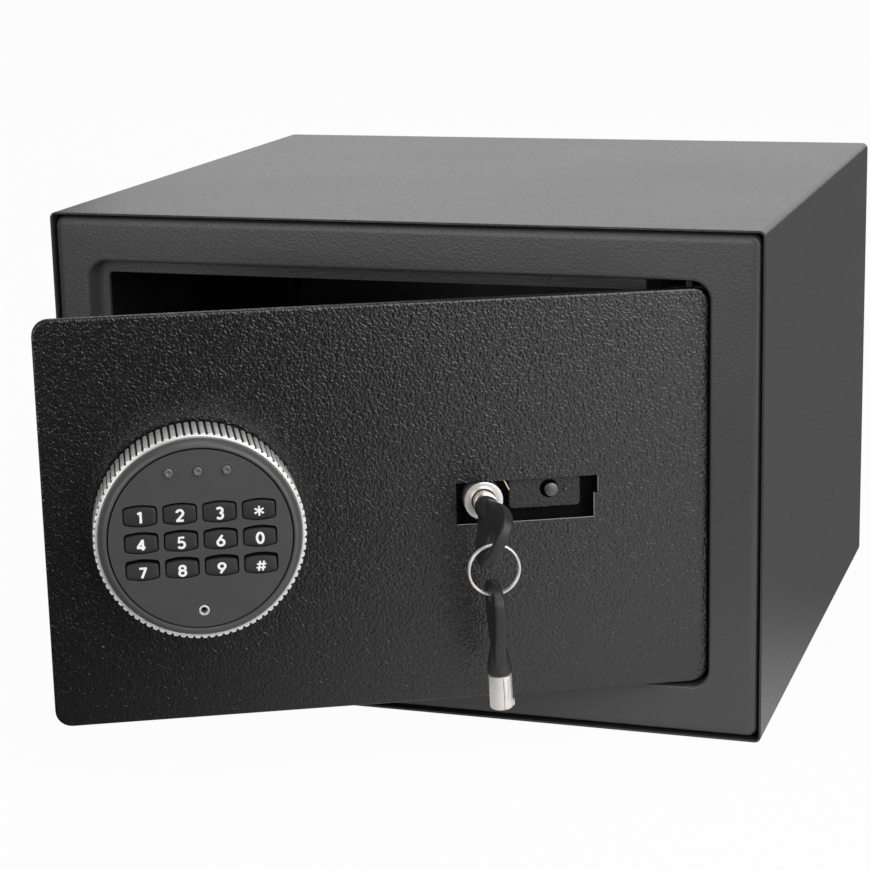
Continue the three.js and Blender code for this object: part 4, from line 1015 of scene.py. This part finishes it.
# Screws that hold the cover on the door's box, by their places on the cover's face.
cover_face = 29.1
cover_screws = [(-276, 42), (-276, 199), (-150, 199), (-22, 199), (-150, 42), (-90, 42)]
screw_head = [
    (0, -0.4), (2.9, -0.4), (2.9, 0.5), (2.7, 1.0), (2.2, 1.35), (1.6, 1.45), (1.45, 1.3),
    (1.4, 0.5), (0, 0.5),
]


def screws():
    for number, (x, z) in enumerate(cover_screws, 1):
        spot = door_frame @ moved(x, cover_face, z) @ about("X", -90)
        head = turned(f"cover_screw_{number}", in_mm(screw_head), spot, 24)
        finish_piece(smooth(head, 40), "door", "zinc_steel")


sheet_metal()
screws()
knob()
key_caps()
key_signs()
keypad_face()
face_fittings()
keys()
split_ring()
lock()
window_fittings()


# The floor and the lights. The floor is also the backdrop. What gloss and metal see of it is
# graded from left to right in front of the safe, and is one grey behind it.
floor_dim = 0.03
floor_bright = 0.95
floor_behind = 0.18
brightens_towards = (0.75, 0.66)
brightens_over = (-0.34, 0.01)
front_over = (0.1, -0.3)
floor_share = 0.97
sky_level = 0.14


def make_stage():
    """A pale floor. Gloss and metal see it bright on the right in front and dim elsewhere."""
    deselect()
    bpy.ops.mesh.primitive_plane_add(size=12, location=(0, 2, -0.2 * MM))
    bpy.ops.object.transform_apply(location=True, rotation=True, scale=True)
    floor = named("floor")
    s = Shader("floor")
    s.set(Base_Color=grey(0.7), Roughness=0.7)
    camera = s.node("ShaderNodeLightPath", output="Is Camera Ray")
    glossy = s.node("ShaderNodeLightPath", output="Is Glossy Ray")
    through = s.node("ShaderNodeLightPath", output="Is Transmission Ray")
    x = s.node("ShaderNodeSeparateXYZ", None, {0: s.place()}, "X")
    y = s.node("ShaderNodeSeparateXYZ", None, {0: s.place()}, "Y")
    across = x * brightens_towards[0] + y * brightens_towards[1]
    rightward = s.step(across, *brightens_over)
    in_front = s.step(y, *front_over)
    level = rightward * in_front * (floor_bright - floor_dim)
    level = level + (1 - in_front) * floor_behind + floor_dim
    shown = s.node("ShaderNodeCombineXYZ", None, {0: level, 1: level, 2: level})
    colour = s.mix(glossy, grey(1.0), shown)
    pale = s.node("ShaderNodeEmission", None, {"Color": colour, "Strength": 1.0})
    share = (camera * floor_share + glossy + through).clamped()
    lit = Wire(s, s.surface.outputs[0])
    both = s.node("ShaderNodeMixShader", None, {0: share, 1: lit, 2: pale})
    s.tree.links.new(both.output, s.tree.nodes["Material Output"].inputs["Surface"])
    floor.data.materials.append(s.material)


def softbox(name, place, target, size, power):
    data = bpy.data.lights.new(name, "AREA")
    data.shape = "RECTANGLE"
    data.size, data.size_y = size
    data.energy = power
    made = bpy.data.objects.new(name, data)
    bpy.context.scene.collection.objects.link(made)
    made.location = place
    made.rotation_euler = (Vector(target) - Vector(place)).to_track_quat("-Z", "Y").to_euler()


def make_lights():
    softbox("back_light", (0.1, 2.3, 1.0), (0, 0, 0.2), (3.2, 1.3), 12)
    softbox("top_light", (0.2, -0.55, 1.7), (0, -0.1, 0), (1.0, 0.8), 5.5)
    softbox("right_light", (1.3, -1.0, 0.8), (0, -0.2, 0.12), (1.6, 1.4), 20)
    softbox("left_light", (-0.35, -1.5, 0.45), (0, -0.2, 0.12), (0.9, 0.8), 4.5)
    world = bpy.data.worlds.new("world")
    bpy.context.scene.world = world
    world.use_nodes = True
    nodes, links = world.node_tree.nodes, world.node_tree.links
    sky = nodes["Background"]
    sky.inputs["Color"].default_value = grey(1.0)
    rays = nodes.new("ShaderNodeLightPath")
    strength = nodes.new("ShaderNodeMapRange")
    strength.inputs["To Min"].default_value = sky_level
    strength.inputs["To Max"].default_value = 1.0
    links.new(rays.outputs["Is Camera Ray"], strength.inputs["Value"])
    links.new(strength.outputs[0], sky.inputs["Strength"])


make_stage()
make_lights()
bpy.context.scene.view_settings.view_transform = "Standard"
